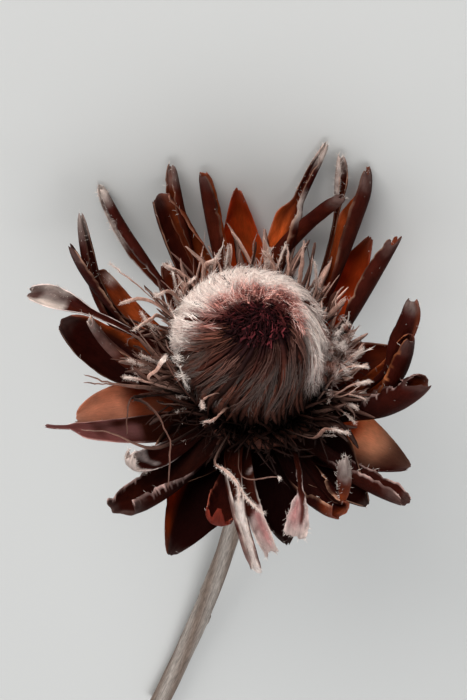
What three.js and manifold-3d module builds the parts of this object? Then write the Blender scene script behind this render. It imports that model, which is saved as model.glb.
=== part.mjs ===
// A dried protea flower head on its cut stem, lying on its side. Millimetres, +Z up.
//
// The flower is built upright first: its own +Z is the flower's axis, from the stem out through the
// florets, and its origin is the middle of the receptacle's flat top. A turn is an angle round that
// axis, a reach is a distance from it, and a rise is a height along it. The whole flower is then laid
// down on three points: the stem's cut end and the tips of two bracts.
import * as THREE from "three";
import { mergeVertices } from "three/addons/utils/BufferGeometryUtils.js";
import Module from "manifold-3d";

const wasm = await Module();
wasm.setup();

// Stem and receptacle
const STEM_RADIUS = 2.5;
const CUT_END_RADIUS = 2.9;
const STEM_LENGTH = 158;
const STEM_BEND = 27; // degrees that the stem curves through
const BEND_TURN = 229; // the side that it curves to
const STEM_SIDES = 14;
const STEM_STEPS = 16;
const NECK_RISE = -13; // where the stem starts to swell into the receptacle
const RECEPTACLE = [
  // [radius, rise] from the flat top down to the neck
  [14.6, 0],
  [15.2, -1.2],
  [13.8, -4],
  [10.4, -7.6],
  [5.6, -10.6],
  [3.2, -12.2],
];

// Collars, the fused feet of each ring of bracts or florets
const SEAT_GAP = 0.3;
const ROUND_GAP = 0.6; // wider than the seat's, because the stem's flats lie inside its round
const COLLAR_SIDES = 24;
const COLLAR_THICKNESS = 2;
const INNER_COLLAR = { top: 0.9, bottom: -3.9 };
const OUTER_COLLAR = { top: -4.5, bottom: -8.2 };
const FLORET_COLLAR = { top: 2.6, outside: 14.5 };

// Floret dome
const DOME_RADIUS = 19.3;
const DOME_FOOT_RADIUS = 11.2;
const DOME_SHOULDER = 20.5;
const DOME_RISE = 35;
const DOME_OFFSET = -2.5; // how far the dome's shoulder leans to one side, along X
const DOME_WALL_SHARE = 0.45; // share of its rows that go up the wall
const DOME_ROWS = 13;
const DOME_COLUMNS = 66;
const LOCKS = 22; // ridges of clumped florets round the dome
const LOCK_DEPTH = 1.2;
const WHORL_TURN = 40; // degrees that the locks swirl through on their way to the tip

// Bracts
const BRACT_THICKNESS = 0.7;
const SPOON = "spoon";
const STRAP = "strap";
const LEAF = "leaf";
const SCALE = "scale";
const BRACT_ROWS = { spoon: 5, strap: 5, leaf: 5, scale: 2 };
const BRACT_COLUMNS = { spoon: 6, strap: 4, leaf: 4, scale: 2 };
const FOOT = {
  spoon: { reach: 16.8, rise: -1.6 },
  strap: { reach: 16.8, rise: -0.8 },
  leaf: { reach: 13.9, rise: -6.6 },
  scale: { reach: 11.4, rise: -7.7 },
};

// Each bract's tip stands at turn, reach and rise. Width is measured flat, roll is the angle that each
// margin rolls in through, bow is how far the blade bellies out, swerve is how far it bellies sideways,
// hook flattens the belly near the tip, and sway is how far round its foot stands from its tip.
const INNER_BRACTS = [
  { turn: 347, reach: 41, rise: 20, width: 14, roll: 130, bow: 8, hook: 2, sway: 12, shape: SPOON },
  { turn: 4, reach: 36, rise: 22, width: 10, roll: 110, bow: 9, sway: 20, shape: SPOON },
  { turn: 14, reach: 38, rise: 26, width: 13, roll: 120, bow: 11, hook: 2, sway: 34, shape: SPOON },
  { turn: 40, reach: 42, rise: 27, width: 11, roll: 150, bow: 1, sway: 20, shape: SPOON },
  { turn: 60, reach: 51.8, rise: 29, width: 14, roll: 130, bow: 3, sway: 12, shape: SPOON },
  { turn: 70, reach: 48, rise: 34, width: 5, roll: 110, bow: 5, swerve: -5, sway: 12, shape: STRAP },
  { turn: 74, reach: 48.4, rise: 36.5, width: 11, roll: 150, bow: 4, swerve: 2, sway: -21, shape: SPOON },
  { turn: 61, reach: 36, rise: 36, width: 6, roll: 120, bow: 11, hook: 4, sway: -60, shape: STRAP },
  { turn: 112, reach: 45.6, rise: 27, width: 10, roll: 130, bow: 4, shape: SPOON },
  { turn: 119, reach: 49, rise: 29.5, width: 7, roll: 120, bow: 4, sway: -6, shape: SPOON },
  { turn: 127, reach: 46, rise: 24, width: 12, roll: 110, bow: 4, sway: 2, shape: SPOON },
  { turn: 135, reach: 58.3, rise: 21, width: 7, roll: 150, bow: 0, hook: -6, sway: -8, shape: SPOON },
  { turn: 154, reach: 53, rise: 22, width: 13, roll: 100, bow: 8, sway: -6, shape: SPOON },
  { turn: 147, reach: 54, rise: 26, width: 5, roll: 120, bow: 8, sway: -14, shape: STRAP },
  { turn: 167, reach: 58, rise: 12, width: 7, roll: 100, bow: -4, hook: 4, sway: -4, shape: STRAP },
  { turn: 175, reach: 49, rise: 16, width: 14, roll: 90, bow: 7, sway: -10, shape: SPOON },
  { turn: 177, reach: 42, rise: 24, width: 8, roll: 150, bow: 6, sway: -14, shape: STRAP },
  { turn: 227, reach: 43, rise: 18, width: 10, roll: 140, bow: 6, shape: SPOON },
  { turn: 235, reach: 54, rise: 12, width: 14, roll: 140, bow: 6, shape: SPOON },
  { turn: 259, reach: 48, rise: 16, width: 10, roll: 140, bow: 6, shape: SPOON },
  { turn: 273, reach: 54, rise: 8, width: 8, roll: 130, bow: 3, swerve: -10, sway: 16, shape: STRAP },
  { turn: 276, reach: 50, rise: 12, width: 8, roll: 120, bow: 3, swerve: -8, sway: 14, shape: STRAP },
  { turn: 282, reach: 48, rise: 12, width: 9, roll: 120, bow: 4, sway: -14, shape: STRAP },
  { turn: 297, reach: 48, rise: 16, width: 12, roll: 150, bow: 6, sway: 6, shape: SPOON },
  { turn: 306, reach: 38, rise: 22, width: 6, roll: 120, bow: 9, hook: 4, sway: 14, shape: STRAP },
  { turn: 314, reach: 51, rise: 12, width: 14, roll: 110, bow: 6, sway: 6, shape: SPOON },
];
const OUTER_BRACTS = [
  { turn: 330, reach: 43, rise: 0, width: 17, roll: 50, bow: 3, sway: 4, shape: LEAF },
  { turn: 306, reach: 44, rise: -4, width: 15, roll: 60, bow: 3, shape: LEAF },
  { turn: 281, reach: 44, rise: 0, width: 15, roll: 60, bow: 3, shape: LEAF },
  { turn: 251, reach: 51, rise: 0, width: 18, roll: 40, bow: 3, shape: LEAF },
  { turn: 229, reach: 42, rise: 0, width: 15, roll: 60, bow: 3, shape: LEAF },
  { turn: 203, reach: 50, rise: 2, width: 14, roll: 60, bow: 3, shape: LEAF },
  { turn: 188, reach: 44, rise: 2, width: 17, roll: 50, bow: 3, shape: LEAF },
  { turn: 160, reach: 40, rise: 0, width: 14, roll: 60, bow: 3, sway: -6, shape: LEAF },
  { turn: 132, reach: 38, rise: 6, width: 14, roll: 60, bow: 3, shape: LEAF },
  { turn: 101, reach: 41.3, rise: 23.5, width: 14, roll: 50, bow: 9, sway: 4, shape: LEAF },
  { turn: 53, reach: 43, rise: 14, width: 13, roll: 60, bow: 5, sway: 8, shape: LEAF },
  { turn: 16, reach: 38, rise: 0, width: 14, roll: 60, bow: 3, shape: LEAF },
];

// Small scales that close the back of the head, below the outer bracts
const SCALES = 11;
const scaleBracts = Array.from({ length: SCALES }, (_, i) => ({
  turn: (360 * (i + 0.3 * (i % 2))) / SCALES,
  reach: 20 + 2 * (i % 3),
  rise: -10.5 + 0.8 * (i % 2),
  width: 9,
  roll: 40,
  bow: 1.4,
  shape: SCALE,
}));

// Open florets, sprung out of the dome's edge
const FLORETS = 64;
const FLORET_RADIUS = 0.45;
const FLORET_TIP_SWELL = 0.6; // share that the fuzzy tip is thicker by
const FLORET_STEPS = 3;
const FLORET_FOOT = { reach: 13.5, rise: 1.6 };
const GOLDEN_TURN = 137.508; // degrees from one floret to the next

// How the flower lies
const AXIS_TILT = 19.7; // degrees of the flower's axis above the horizontal
const AXIS_ROLL = 179.2; // degrees that the flower is turned round its axis

const rad = THREE.MathUtils.degToRad;

function spot(turn, reach, rise) {
  return new THREE.Vector3(reach * Math.cos(rad(turn)), reach * Math.sin(rad(turn)), rise);
}

// A number from 0 to 1 that always comes out the same for a given piece and use.
function chance(piece, use) {
  const wave = Math.sin(piece * 12.9898 + use * 78.233) * 43758.5453;
  return wave - Math.floor(wave);
}

// Solids

function toSolid(geometry) {
  const bare = geometry.clone();
  bare.deleteAttribute("normal");
  bare.deleteAttribute("uv");
  const merged = mergeVertices(bare, 1e-4);
  return new wasm.Manifold(
    new wasm.Mesh({
      numProp: 3,
      vertProperties: new Float32Array(merged.attributes.position.array),
      triVerts: new Uint32Array(merged.index.array),
    }),
  );
}

function toGeometry(solid) {
  const { vertProperties, triVerts } = solid.getMesh();
  const geometry = new THREE.BufferGeometry();
  geometry.setAttribute("position", new THREE.BufferAttribute(vertProperties, 3));
  geometry.setIndex(new THREE.BufferAttribute(triVerts, 1));
  geometry.computeVertexNormals();
  return geometry;
}

// A closed skin over rings of points: each ring joins the next, and the two ends are closed by fans.
function skin(rings) {
  const around = rings[0].length;
  const points = rings.flat();
  const faces = [];
  for (let i = 0; i + 1 < rings.length; i++) {
    for (let j = 0; j < around; j++) {
      const a = i * around + j;
      const b = i * around + ((j + 1) % around);
      faces.push(a, b, b + around, a, b + around, a + around);
    }
  }
  const cap = (end, outwards) => {
    const middle = points.length;
    const centre = new THREE.Vector3();
    rings[end].forEach((p) => centre.add(p));
    points.push(centre.divideScalar(around));
    for (let j = 0; j < around; j++) {
      const a = end * around + j;
      const b = end * around + ((j + 1) % around);
      faces.push(middle, ...(outwards ? [a, b] : [b, a]));
    }
  };
  cap(0, false);
  cap(rings.length - 1, true);
  const geometry = new THREE.BufferGeometry().setFromPoints(points);
  geometry.setIndex(faces);
  return geometry;
}

// A ring turned round the flower's axis from a closed outline of [reach, rise] points.
function turned(outline) {
  const points = [...outline, outline[0]].map(([reach, rise]) => new THREE.Vector2(reach, rise));
  return new THREE.LatheGeometry(points, COLLAR_SIDES).rotateX(Math.PI / 2);
}

// Stem with its receptacle

function receptacleRadius(rise) {
  const below = RECEPTACLE.findIndex(([, low], i) => i > 0 && low <= rise);
  const [wide, high] = RECEPTACLE[below - 1];
  const [narrow, low] = RECEPTACLE[below];
  return THREE.MathUtils.mapLinear(Math.min(rise, high), high, low, wide, narrow);
}

function stem() {
  const towards = spot(BEND_TURN, 1, 0);
  const across = new THREE.Vector3(0, 0, 1).cross(towards);
  const circle = (centre, radius, up) =>
    Array.from({ length: STEM_SIDES }, (_, j) => {
      const angle = (2 * Math.PI * j) / STEM_SIDES;
      const aside = across.clone().multiplyScalar(radius * Math.cos(angle));
      return centre.clone().add(aside).addScaledVector(up, radius * Math.sin(angle));
    });
  const heading = (bend) => towards.clone().multiplyScalar(Math.sin(bend)).setZ(-Math.cos(bend));
  const centre = new THREE.Vector3(0, 0, NECK_RISE);
  const rings = [];
  for (let i = 0; i <= STEM_STEPS; i++) {
    const along = i / STEM_STEPS;
    const radius = THREE.MathUtils.lerp(STEM_RADIUS, CUT_END_RADIUS, along ** 3);
    rings.unshift(circle(centre, radius, across.clone().cross(heading(rad(STEM_BEND) * along))));
    const halfStep = along + 0.5 / STEM_STEPS;
    centre.addScaledVector(heading(rad(STEM_BEND) * halfStep), STEM_LENGTH / STEM_STEPS);
  }
  const away = towards.clone().negate();
  for (const [radius, rise] of [...RECEPTACLE].reverse())
    rings.push(circle(new THREE.Vector3(0, 0, rise), radius, away));
  return skin(rings);
}

// Bracts

// Half width along a bract, as a share of its full half width.
function outline(shape, along) {
  const ease = (to) => Math.sin((Math.min(along / to, 1) * Math.PI) / 2);
  if (shape === SPOON)
    return (0.4 + 0.6 * ease(0.62) ** 1.6) * Math.sqrt(1 - (Math.max(along - 0.7, 0) / 0.315) ** 2.4);
  if (shape === STRAP)
    return (0.6 + 0.4 * ease(0.4)) * Math.sqrt(1 - (Math.max(along - 0.8, 0) / 0.21) ** 2);
  return (0.7 + 0.3 * ease(0.35)) * Math.cos((Math.max(along - 0.35, 0) / 0.67) * (Math.PI / 2)) ** 0.75;
}

function centreLine({ turn, reach, rise, bow, hook = 0, swerve = 0, sway = 0, shape }) {
  const foot = spot(turn - sway, FOOT[shape].reach, FOOT[shape].rise);
  const tip = spot(turn, reach, rise);
  const chord = tip.clone().sub(foot);
  const aside = spot(turn - sway / 2 + 90, 1, 0);
  const below = aside.clone().cross(chord).normalize();
  if (below.dot(spot(turn - sway / 2, 1, -1)) < 0) below.negate();
  const handle = (share, belly, swing) =>
    foot.clone().addScaledVector(chord, share).addScaledVector(below, belly).addScaledVector(aside, swing);
  const lower = handle(1 / 3, bow * 1.2, swerve);
  const upper = handle(2 / 3, (bow - hook) * 1.2, swerve * 0.8);
  return { curve: new THREE.CubicBezierCurve3(foot, lower, upper, tip), aside };
}

// Points across a blade's section, from one rolled margin to the other: [aside, inwards].
function section(half, roll, columns) {
  const fine = 8;
  const count = columns * fine;
  const points = [];
  let x = 0;
  let z = 0;
  for (let k = 0; k <= count; k++) {
    if (k % fine === 0) points.push([x, z]);
    const across = ((k + 0.5) / count) * 2 - 1;
    const bend = roll * Math.sign(across) * Math.abs(across) ** 1.6;
    x += ((Math.cos(bend) * 2) / count) * half;
    z += ((Math.sin(bend) * 2) / count) * half;
  }
  const [middleX, middleZ] = points[columns / 2];
  return points.map(([px, pz]) => [px - middleX, pz - middleZ]);
}

function bract(sizes) {
  const { curve, aside } = centreLine(sizes);
  const last = BRACT_ROWS[sizes.shape];
  const rows = [];
  for (let i = 0; i <= last; i++) {
    const along = i / last;
    const centre = curve.getPoint(along);
    const tangent = curve.getTangent(along);
    const side = aside.clone().addScaledVector(tangent, -aside.dot(tangent)).normalize();
    const face = tangent.clone().cross(side);
    const rolledIn = 0.3 + 0.7 * Math.min(along / 0.75, 1);
    const half = (sizes.width / 2) * outline(sizes.shape, along);
    rows.push(
      section(half, rad(sizes.roll) * rolledIn, BRACT_COLUMNS[sizes.shape]).map(([x, z]) =>
        centre.clone().addScaledVector(side, x).addScaledVector(face, z),
      ),
    );
  }
  return thicken(rows);
}

// A grid of points made into a closed blade, with both faces split into triangles alike.
function thicken(rows) {
  const last = rows.length - 1;
  const columns = rows[0].length;
  const normalAt = (i, j) => {
    const along = rows[Math.min(i + 1, last)][j].clone().sub(rows[Math.max(i - 1, 0)][j]);
    const across = rows[i][Math.min(j + 1, columns - 1)].clone().sub(rows[i][Math.max(j - 1, 0)]);
    return along.cross(across).normalize();
  };
  const face = (offset) =>
    rows.flatMap((row, i) => row.map((p, j) => p.clone().addScaledVector(normalAt(i, j), offset)));
  const points = [...face(BRACT_THICKNESS / 2), ...face(-BRACT_THICKNESS / 2)];
  const under = rows.length * columns;
  const faces = [];
  for (let i = 0; i < last; i++) {
    for (let j = 0; j + 1 < columns; j++) {
      const a = i * columns + j;
      const b = a + 1;
      const c = b + columns;
      const d = a + columns;
      faces.push(a, c, b, a, d, c);
      faces.push(under + a, under + b, under + c, under + a, under + c, under + d);
    }
  }
  const rim = [];
  for (let j = 0; j < columns - 1; j++) rim.push(j);
  for (let i = 0; i < last; i++) rim.push(i * columns + columns - 1);
  for (let j = columns - 1; j > 0; j--) rim.push(last * columns + j);
  for (let i = last; i > 0; i--) rim.push(i * columns);
  rim.forEach((a, k) => {
    const b = rim[(k + 1) % rim.length];
    faces.push(a, b, under + b, a, under + b, under + a);
  });
  const geometry = new THREE.BufferGeometry().setFromPoints(points);
  geometry.setIndex(faces);
  return geometry;
}

// A collar that follows the receptacle's side from top to bottom.
function collar({ top, bottom }) {
  const steps = RECEPTACLE.map(([, rise]) => rise).filter((rise) => rise < top && rise > bottom);
  const inside = [top, ...steps, bottom].map((rise) => [receptacleRadius(rise) + ROUND_GAP, rise]);
  const outside = inside.map(([reach, rise]) => [reach + COLLAR_THICKNESS, rise]).reverse();
  return turned([...inside, ...outside]);
}

function bractRing(bracts, sizes) {
  return wasm.Manifold.union([toSolid(collar(sizes)), ...bracts.map((b) => toSolid(bract(b)))]);
}

// Floret dome

function domeWallReach(share) {
  return THREE.MathUtils.lerp(DOME_FOOT_RADIUS, DOME_RADIUS, Math.sin((share * Math.PI) / 2));
}

// The dome's [reach, rise, share of the lean] at a share of the way from its foot to its tip.
function domeProfile(along) {
  if (along < DOME_WALL_SHARE) {
    const up = along / DOME_WALL_SHARE;
    return [domeWallReach(up), THREE.MathUtils.lerp(SEAT_GAP, DOME_SHOULDER, up), up];
  }
  const over = (((along - DOME_WALL_SHARE) / (1 - DOME_WALL_SHARE)) * Math.PI) / 2;
  const crown = DOME_RISE - DOME_SHOULDER;
  return [DOME_RADIUS * Math.cos(over), DOME_SHOULDER + crown * Math.sin(over), Math.cos(over)];
}

function dome() {
  const rings = [];
  for (let i = 0; i < DOME_ROWS; i++) {
    const along = i / DOME_ROWS;
    const [reach, rise, lean] = domeProfile(along);
    const depth = LOCK_DEPTH * lean * (reach / DOME_RADIUS);
    rings.push(
      Array.from({ length: DOME_COLUMNS }, (_, j) => {
        const turn = (360 * j) / DOME_COLUMNS;
        const ridge = Math.abs(Math.sin((rad(turn) * LOCKS) / 2));
        const p = spot(turn + WHORL_TURN * along ** 2, reach + depth * (ridge - 1), rise);
        return p.setX(p.x + DOME_OFFSET * lean);
      }),
    );
  }
  return skin(rings);
}

// Open florets

function floretLine(index) {
  const { reach, rise } = FLORET_FOOT;
  const turn = (index * GOLDEN_TURN) % 360;
  const widest = (1 - Math.sin(rad(turn))) / 2; // 1 on the side that splays widest
  const splay = rad(32 + 22 * widest + 16 * (chance(index, 1) - 0.5));
  const length = 25 + 11 * chance(index, 2);
  const swing = 24 * (chance(index, 3) - 0.5);
  const foot = spot(turn, reach, rise);
  const tip = spot(turn + swing, reach + length * Math.sin(splay), rise + length * Math.cos(splay));
  const knee = foot.clone().lerp(tip, 0.55).add(spot(turn, 2.2, -1.2));
  return new THREE.QuadraticBezierCurve3(foot, knee, tip);
}

function floret(index) {
  const curve = floretLine(index);
  const rings = [];
  for (let i = 0; i <= FLORET_STEPS; i++) {
    const along = i / FLORET_STEPS;
    const tangent = curve.getTangent(along);
    const side = new THREE.Vector3(0, 0, 1).cross(tangent).normalize();
    const face = tangent.clone().cross(side);
    const radius = FLORET_RADIUS * (1 + FLORET_TIP_SWELL * along ** 3);
    rings.push(
      [0, 120, 240].map((angle) => {
        const p = curve.getPoint(along).addScaledVector(side, radius * Math.cos(rad(angle)));
        return p.addScaledVector(face, radius * Math.sin(rad(angle)));
      }),
    );
  }
  return toSolid(skin(rings));
}

function floretCollar() {
  const { top, outside } = FLORET_COLLAR;
  const inside = [SEAT_GAP, top].map((rise) => [
    domeWallReach(rise / DOME_SHOULDER) + ROUND_GAP,
    rise,
  ]);
  return turned([...inside.reverse(), [outside, SEAT_GAP], [outside, top]]);
}

// The florets that stand clear of the bracts and the dome, joined by the collar that they grow from.
function openFlorets(neighbours) {
  const isClear = (solid) => neighbours.every((neighbour) => neighbour.minGap(solid, 1) > SEAT_GAP);
  const standing = Array.from({ length: FLORETS }, (_, index) => floret(index + 1)).filter(isClear);
  return wasm.Manifold.union([toSolid(floretCollar()), ...standing]);
}

// Assembly

const solids = {
  stem: toSolid(stem()),
  inner_bracts: bractRing(INNER_BRACTS, INNER_COLLAR),
  outer_bracts: bractRing([...OUTER_BRACTS, ...scaleBracts], OUTER_COLLAR),
  floret_dome: toSolid(dome()),
};
solids.open_florets = openFlorets([solids.inner_bracts, solids.outer_bracts, solids.floret_dome]);

const FINISH = {
  stem: { color: 0x6e5f56, roughness: 0.85 },
  inner_bracts: { color: 0x5a2318, roughness: 0.6 },
  outer_bracts: { color: 0x7a3214, roughness: 0.55 },
  floret_dome: { color: 0xb9a398, roughness: 0.95 },
  open_florets: { color: 0x9a8076, roughness: 0.9 },
};

const flower = new THREE.Group();
for (const [name, solid] of Object.entries(solids)) {
  const finish = new THREE.MeshStandardMaterial({ ...FINISH[name], metalness: 0 });
  const mesh = new THREE.Mesh(toGeometry(solid), finish);
  mesh.name = name;
  flower.add(mesh);
}
flower.rotation.set(rad(90 - AXIS_TILT), 0, rad(AXIS_ROLL));

// The origin is the middle of the bottom of the box round the lying flower.
const part = new THREE.Group();
part.add(flower);
part.updateMatrixWorld(true);
const bounds = new THREE.Box3().setFromObject(part, true);
const middle = bounds.getCenter(new THREE.Vector3());
flower.position.set(-middle.x, -middle.y, -bounds.min.z);

export default part;
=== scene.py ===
import math

import bpy
import numpy as np
from mathutils import Matrix, Vector


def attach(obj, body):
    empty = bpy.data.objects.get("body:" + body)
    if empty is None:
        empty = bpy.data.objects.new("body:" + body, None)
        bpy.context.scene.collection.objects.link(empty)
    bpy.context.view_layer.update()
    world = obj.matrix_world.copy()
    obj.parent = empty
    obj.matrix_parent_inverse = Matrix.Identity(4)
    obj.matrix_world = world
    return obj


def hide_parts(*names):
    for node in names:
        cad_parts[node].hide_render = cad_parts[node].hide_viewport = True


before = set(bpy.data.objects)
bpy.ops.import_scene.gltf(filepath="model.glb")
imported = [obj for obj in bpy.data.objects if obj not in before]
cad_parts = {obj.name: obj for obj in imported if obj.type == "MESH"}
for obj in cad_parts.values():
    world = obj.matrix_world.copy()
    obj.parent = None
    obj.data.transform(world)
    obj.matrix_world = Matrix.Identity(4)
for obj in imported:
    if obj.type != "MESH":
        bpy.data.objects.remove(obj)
bpy.ops.object.select_all(action="DESELECT")
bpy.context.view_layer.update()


# Stem and receptacle
# The cut stem is one woody rod, grey brown and finely ridged, with scars where its leaves fell off. It
# swells into the receptacle, which carries every bract and floret. It is extruded ring by ring from its
# cut end, then ridged and curved.
MM = 0.001
AXIS_TILT = 19.7  # degrees of the flower's axis above the floor
AXIS_ROLL = 179.2  # degrees that the flower is turned round its axis
STEM_SIDES = 48
STEM_LENGTH = 158
STEM_RADIUS = 2.5
CUT_END_RADIUS = 2.9
STEM_BEND = 27  # degrees
BEND_TURN = 229
STEM_STEP = 1.1
NECK_RISE = -13
CUT_RISE = NECK_RISE - STEM_LENGTH
RIDGES = 11
RIDGE_DEPTH = 0.035  # share of the stem's radius
FINE_RIDGES = 19
FINE_RIDGE_DEPTH = 0.02
BARK = 0.4
PITH_SHARE = 0.5  # of the cut end's radius
PITH_DEPTH = 0.5
PITH_WALL = 0.15
RECEPTACLE = [(3.2, -12.2), (5.6, -10.6), (10.4, -7.6), (13.8, -4), (15.2, -1.2), (14.6, 0)]
RECEPTACLE_RIM = 1.5
LEAF_SCARS = 11
SCAR_SPACING = 13
SCAR_HEIGHT = 0.5
FIRST_SCAR = NECK_RISE - 8
WOOD_END = -9  # rise where the ridged wood has gone over into the receptacle
GOLDEN_TURN = 137.508  # degrees from one leaf or floret to the next
BARK_BROWN = (0.17, 0.125, 0.1)
BARK_GREY = (0.3, 0.26, 0.23)
CUT_WOOD = (0.46, 0.35, 0.24)
RECEPTACLE_BROWN = (0.07, 0.032, 0.022)
PITH = (0.2, 0.12, 0.07)
NOISE_ROUGHNESS = 0.6
NOISE_LOW = 0.3  # the noise hardly goes below this, nor above the next
NOISE_HIGH = 0.7

tilted = Matrix.Rotation(math.radians(90 - AXIS_TILT), 3, "X")
flower_axes = np.array(tilted @ Matrix.Rotation(math.radians(AXIS_ROLL), 3, "Z"))

# The receptacle's flat top is the part of the solid stem that is farthest out along the flower's axis.
stem_solid = np.array([v.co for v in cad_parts["stem"].data.vertices])
stem_solid = np.unique(stem_solid.round(6), axis=0)
out_of_face = stem_solid @ flower_axes[:, 2]
flower_middle = stem_solid[out_of_face > out_of_face.max() - 0.05 * MM].mean(axis=0)


def lay_down(points):
    """Flower millimetres to metres where the flower lies."""
    return points @ flower_axes.T * MM + flower_middle


def reshape(piece, shaping):
    """Moves all of a piece's points at once. Shaping takes and returns an array of points."""
    points = np.empty(len(piece.data.vertices) * 3)
    piece.data.vertices.foreach_get("co", points)
    piece.data.vertices.foreach_set("co", shaping(points.reshape(-1, 3)).ravel())
    piece.data.update()


def store(piece, name, values):
    """Keeps a colour (4 numbers a point) or a place in the grain (3 numbers a point) on a piece's points."""
    kind, field = ("FLOAT_COLOR", "color") if values.shape[1] == 4 else ("FLOAT_VECTOR", "vector")
    attribute = piece.data.attributes.new(name, kind, "POINT")
    attribute.data.foreach_set(field, np.ascontiguousarray(values, dtype=np.float32).ravel())


def stacked(first, second, third):
    """Places from their three coordinates."""
    return np.stack(np.broadcast_arrays(first, second, third), axis=-1)


def spot(turn, reach, rise):
    """Points round the flower's axis, from angles in degrees."""
    angle = np.radians(turn)
    return stacked(reach * np.cos(angle), reach * np.sin(angle), rise)


def polar(points):
    """How far points are from the flower's axis, and their angles round it."""
    return np.hypot(points[:, 0], points[:, 1]), np.arctan2(points[:, 1], points[:, 0])


def places(piece):
    """A piece's points."""
    return np.array([v.co for v in piece.data.vertices])


def mixed(first, second, share):
    """Between two colours, numbers or points, by a share that may differ from point to point."""
    share = np.asarray(share, dtype=float)
    first, second = np.asarray(first, dtype=float), np.asarray(second, dtype=float)
    if first.ndim and first.shape != share.shape:
        share = share[..., None]
    return first + (second - first) * share


def eased(value, start, end):
    """0 before start, 1 after end, and smooth between them."""
    share = np.clip((value - start) / (end - start), 0, 1)
    return share * share * (3 - 2 * share)


def opaque(colour):
    """Colours with a fourth number that says they hide what is behind them."""
    return np.concatenate([colour, np.ones(colour.shape[:-1] + (1,))], axis=-1)


def place_piece(piece, name, node, finish):
    """Names a piece, gives it its finish, and lets it ride with the flower in place of its plain solid."""
    piece.name = name
    piece.data.name = name
    piece.data.materials.clear()
    piece.data.materials.append(finish)
    piece.data.shade_smooth()
    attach(piece, "root")
    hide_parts(node)


def new_finish(name, roughness, gloss=0.5):
    """A material whose colour comes from the piece's own tint."""
    finish = bpy.data.materials.new(name)
    finish.use_nodes = True
    shader = finish.node_tree.nodes["Principled BSDF"]
    shader.inputs["Roughness"].default_value = roughness
    shader.inputs["Specular IOR Level"].default_value = gloss
    tint = finish.node_tree.nodes.new("ShaderNodeAttribute")
    tint.attribute_name = "tint"
    finish.node_tree.links.new(tint.outputs["Color"], shader.inputs["Base Color"])
    return finish


def grain_noise(finish, stretch, detail):
    """Noise along a piece's own grain, in spots of 1/stretch millimetres across, along and between pieces."""
    nodes, links = finish.node_tree.nodes, finish.node_tree.links
    grain = nodes.new("ShaderNodeAttribute")
    grain.attribute_name = "grain"
    mapping = nodes.new("ShaderNodeMapping")
    mapping.inputs["Scale"].default_value = stretch
    noise = nodes.new("ShaderNodeTexNoise")
    noise.inputs["Scale"].default_value = 1
    noise.inputs["Detail"].default_value = detail
    noise.inputs["Roughness"].default_value = NOISE_ROUGHNESS
    links.new(grain.outputs["Vector"], mapping.inputs["Vector"])
    links.new(mapping.outputs["Vector"], noise.inputs["Vector"])
    return noise.outputs["Fac"]


def speckle(finish, stretch, darkest, lightest, detail=4):
    """Makes the base colour darker and lighter with a noise, between two factors."""
    nodes, links = finish.node_tree.nodes, finish.node_tree.links
    base_colour = nodes["Principled BSDF"].inputs["Base Color"]
    spread = nodes.new("ShaderNodeMapRange")
    spread.inputs["From Min"].default_value = NOISE_LOW
    spread.inputs["From Max"].default_value = NOISE_HIGH
    spread.inputs["To Min"].default_value = darkest
    spread.inputs["To Max"].default_value = lightest
    scale = nodes.new("ShaderNodeVectorMath")
    scale.operation = "SCALE"
    links.new(grain_noise(finish, stretch, detail), spread.inputs["Value"])
    links.new(base_colour.links[0].from_socket, scale.inputs[0])
    links.new(spread.outputs["Result"], scale.inputs["Scale"])
    links.new(scale.outputs["Vector"], base_colour)


def wrinkle(finish, stretch, depth, strength, detail=4):
    """Raises a noise as fine relief, depth in metres."""
    nodes, links = finish.node_tree.nodes, finish.node_tree.links
    normal = nodes["Principled BSDF"].inputs["Normal"]
    bump = nodes.new("ShaderNodeBump")
    bump.inputs["Distance"].default_value = depth
    bump.inputs["Strength"].default_value = strength
    if normal.links:
        links.new(normal.links[0].from_socket, bump.inputs["Normal"])
    links.new(grain_noise(finish, stretch, detail), bump.inputs["Height"])
    links.new(bump.outputs["Normal"], normal)


def extruded_stem():
    """The stem and receptacle on the flower's axis, straight and smooth."""
    bpy.ops.mesh.primitive_circle_add(
        vertices=STEM_SIDES, radius=CUT_END_RADIUS, fill_type="NGON", location=(0, 0, CUT_RISE)
    )
    bpy.ops.object.transform_apply()
    stem = bpy.context.object
    bpy.ops.object.mode_set(mode="EDIT")
    bpy.ops.mesh.select_mode(type="FACE")
    count = round(STEM_LENGTH / STEM_STEP)
    profile = []
    for ring in range(1, count + 1):
        up = ring / count
        flare = (CUT_END_RADIUS - STEM_RADIUS) * (1 - up) ** 3
        profile.append((STEM_RADIUS + flare, NECK_RISE - STEM_LENGTH * (1 - up)))
    radius, rise = CUT_END_RADIUS, CUT_RISE
    for next_radius, next_rise in profile + RECEPTACLE:
        bpy.ops.mesh.extrude_region()
        bpy.ops.transform.translate(value=(0, 0, next_rise - rise))
        swell = next_radius / radius
        bpy.ops.transform.resize(value=(swell, swell, 1), center_override=(0, 0, next_rise))
        radius, rise = next_radius, next_rise
    bpy.ops.mesh.inset(thickness=RECEPTACLE_RIM, depth=0)
    bpy.ops.object.mode_set(mode="OBJECT")
    for face in stem.data.polygons:
        face.select = face.normal.z < -0.9 and len(face.vertices) == STEM_SIDES
    bpy.ops.object.mode_set(mode="EDIT")
    for thickness, depth in ((BARK, 0), (CUT_END_RADIUS * PITH_SHARE, 0), (PITH_WALL, -PITH_DEPTH)):
        bpy.ops.mesh.inset(thickness=thickness, depth=depth)
    bpy.ops.object.mode_set(mode="OBJECT")
    return stem


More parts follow.
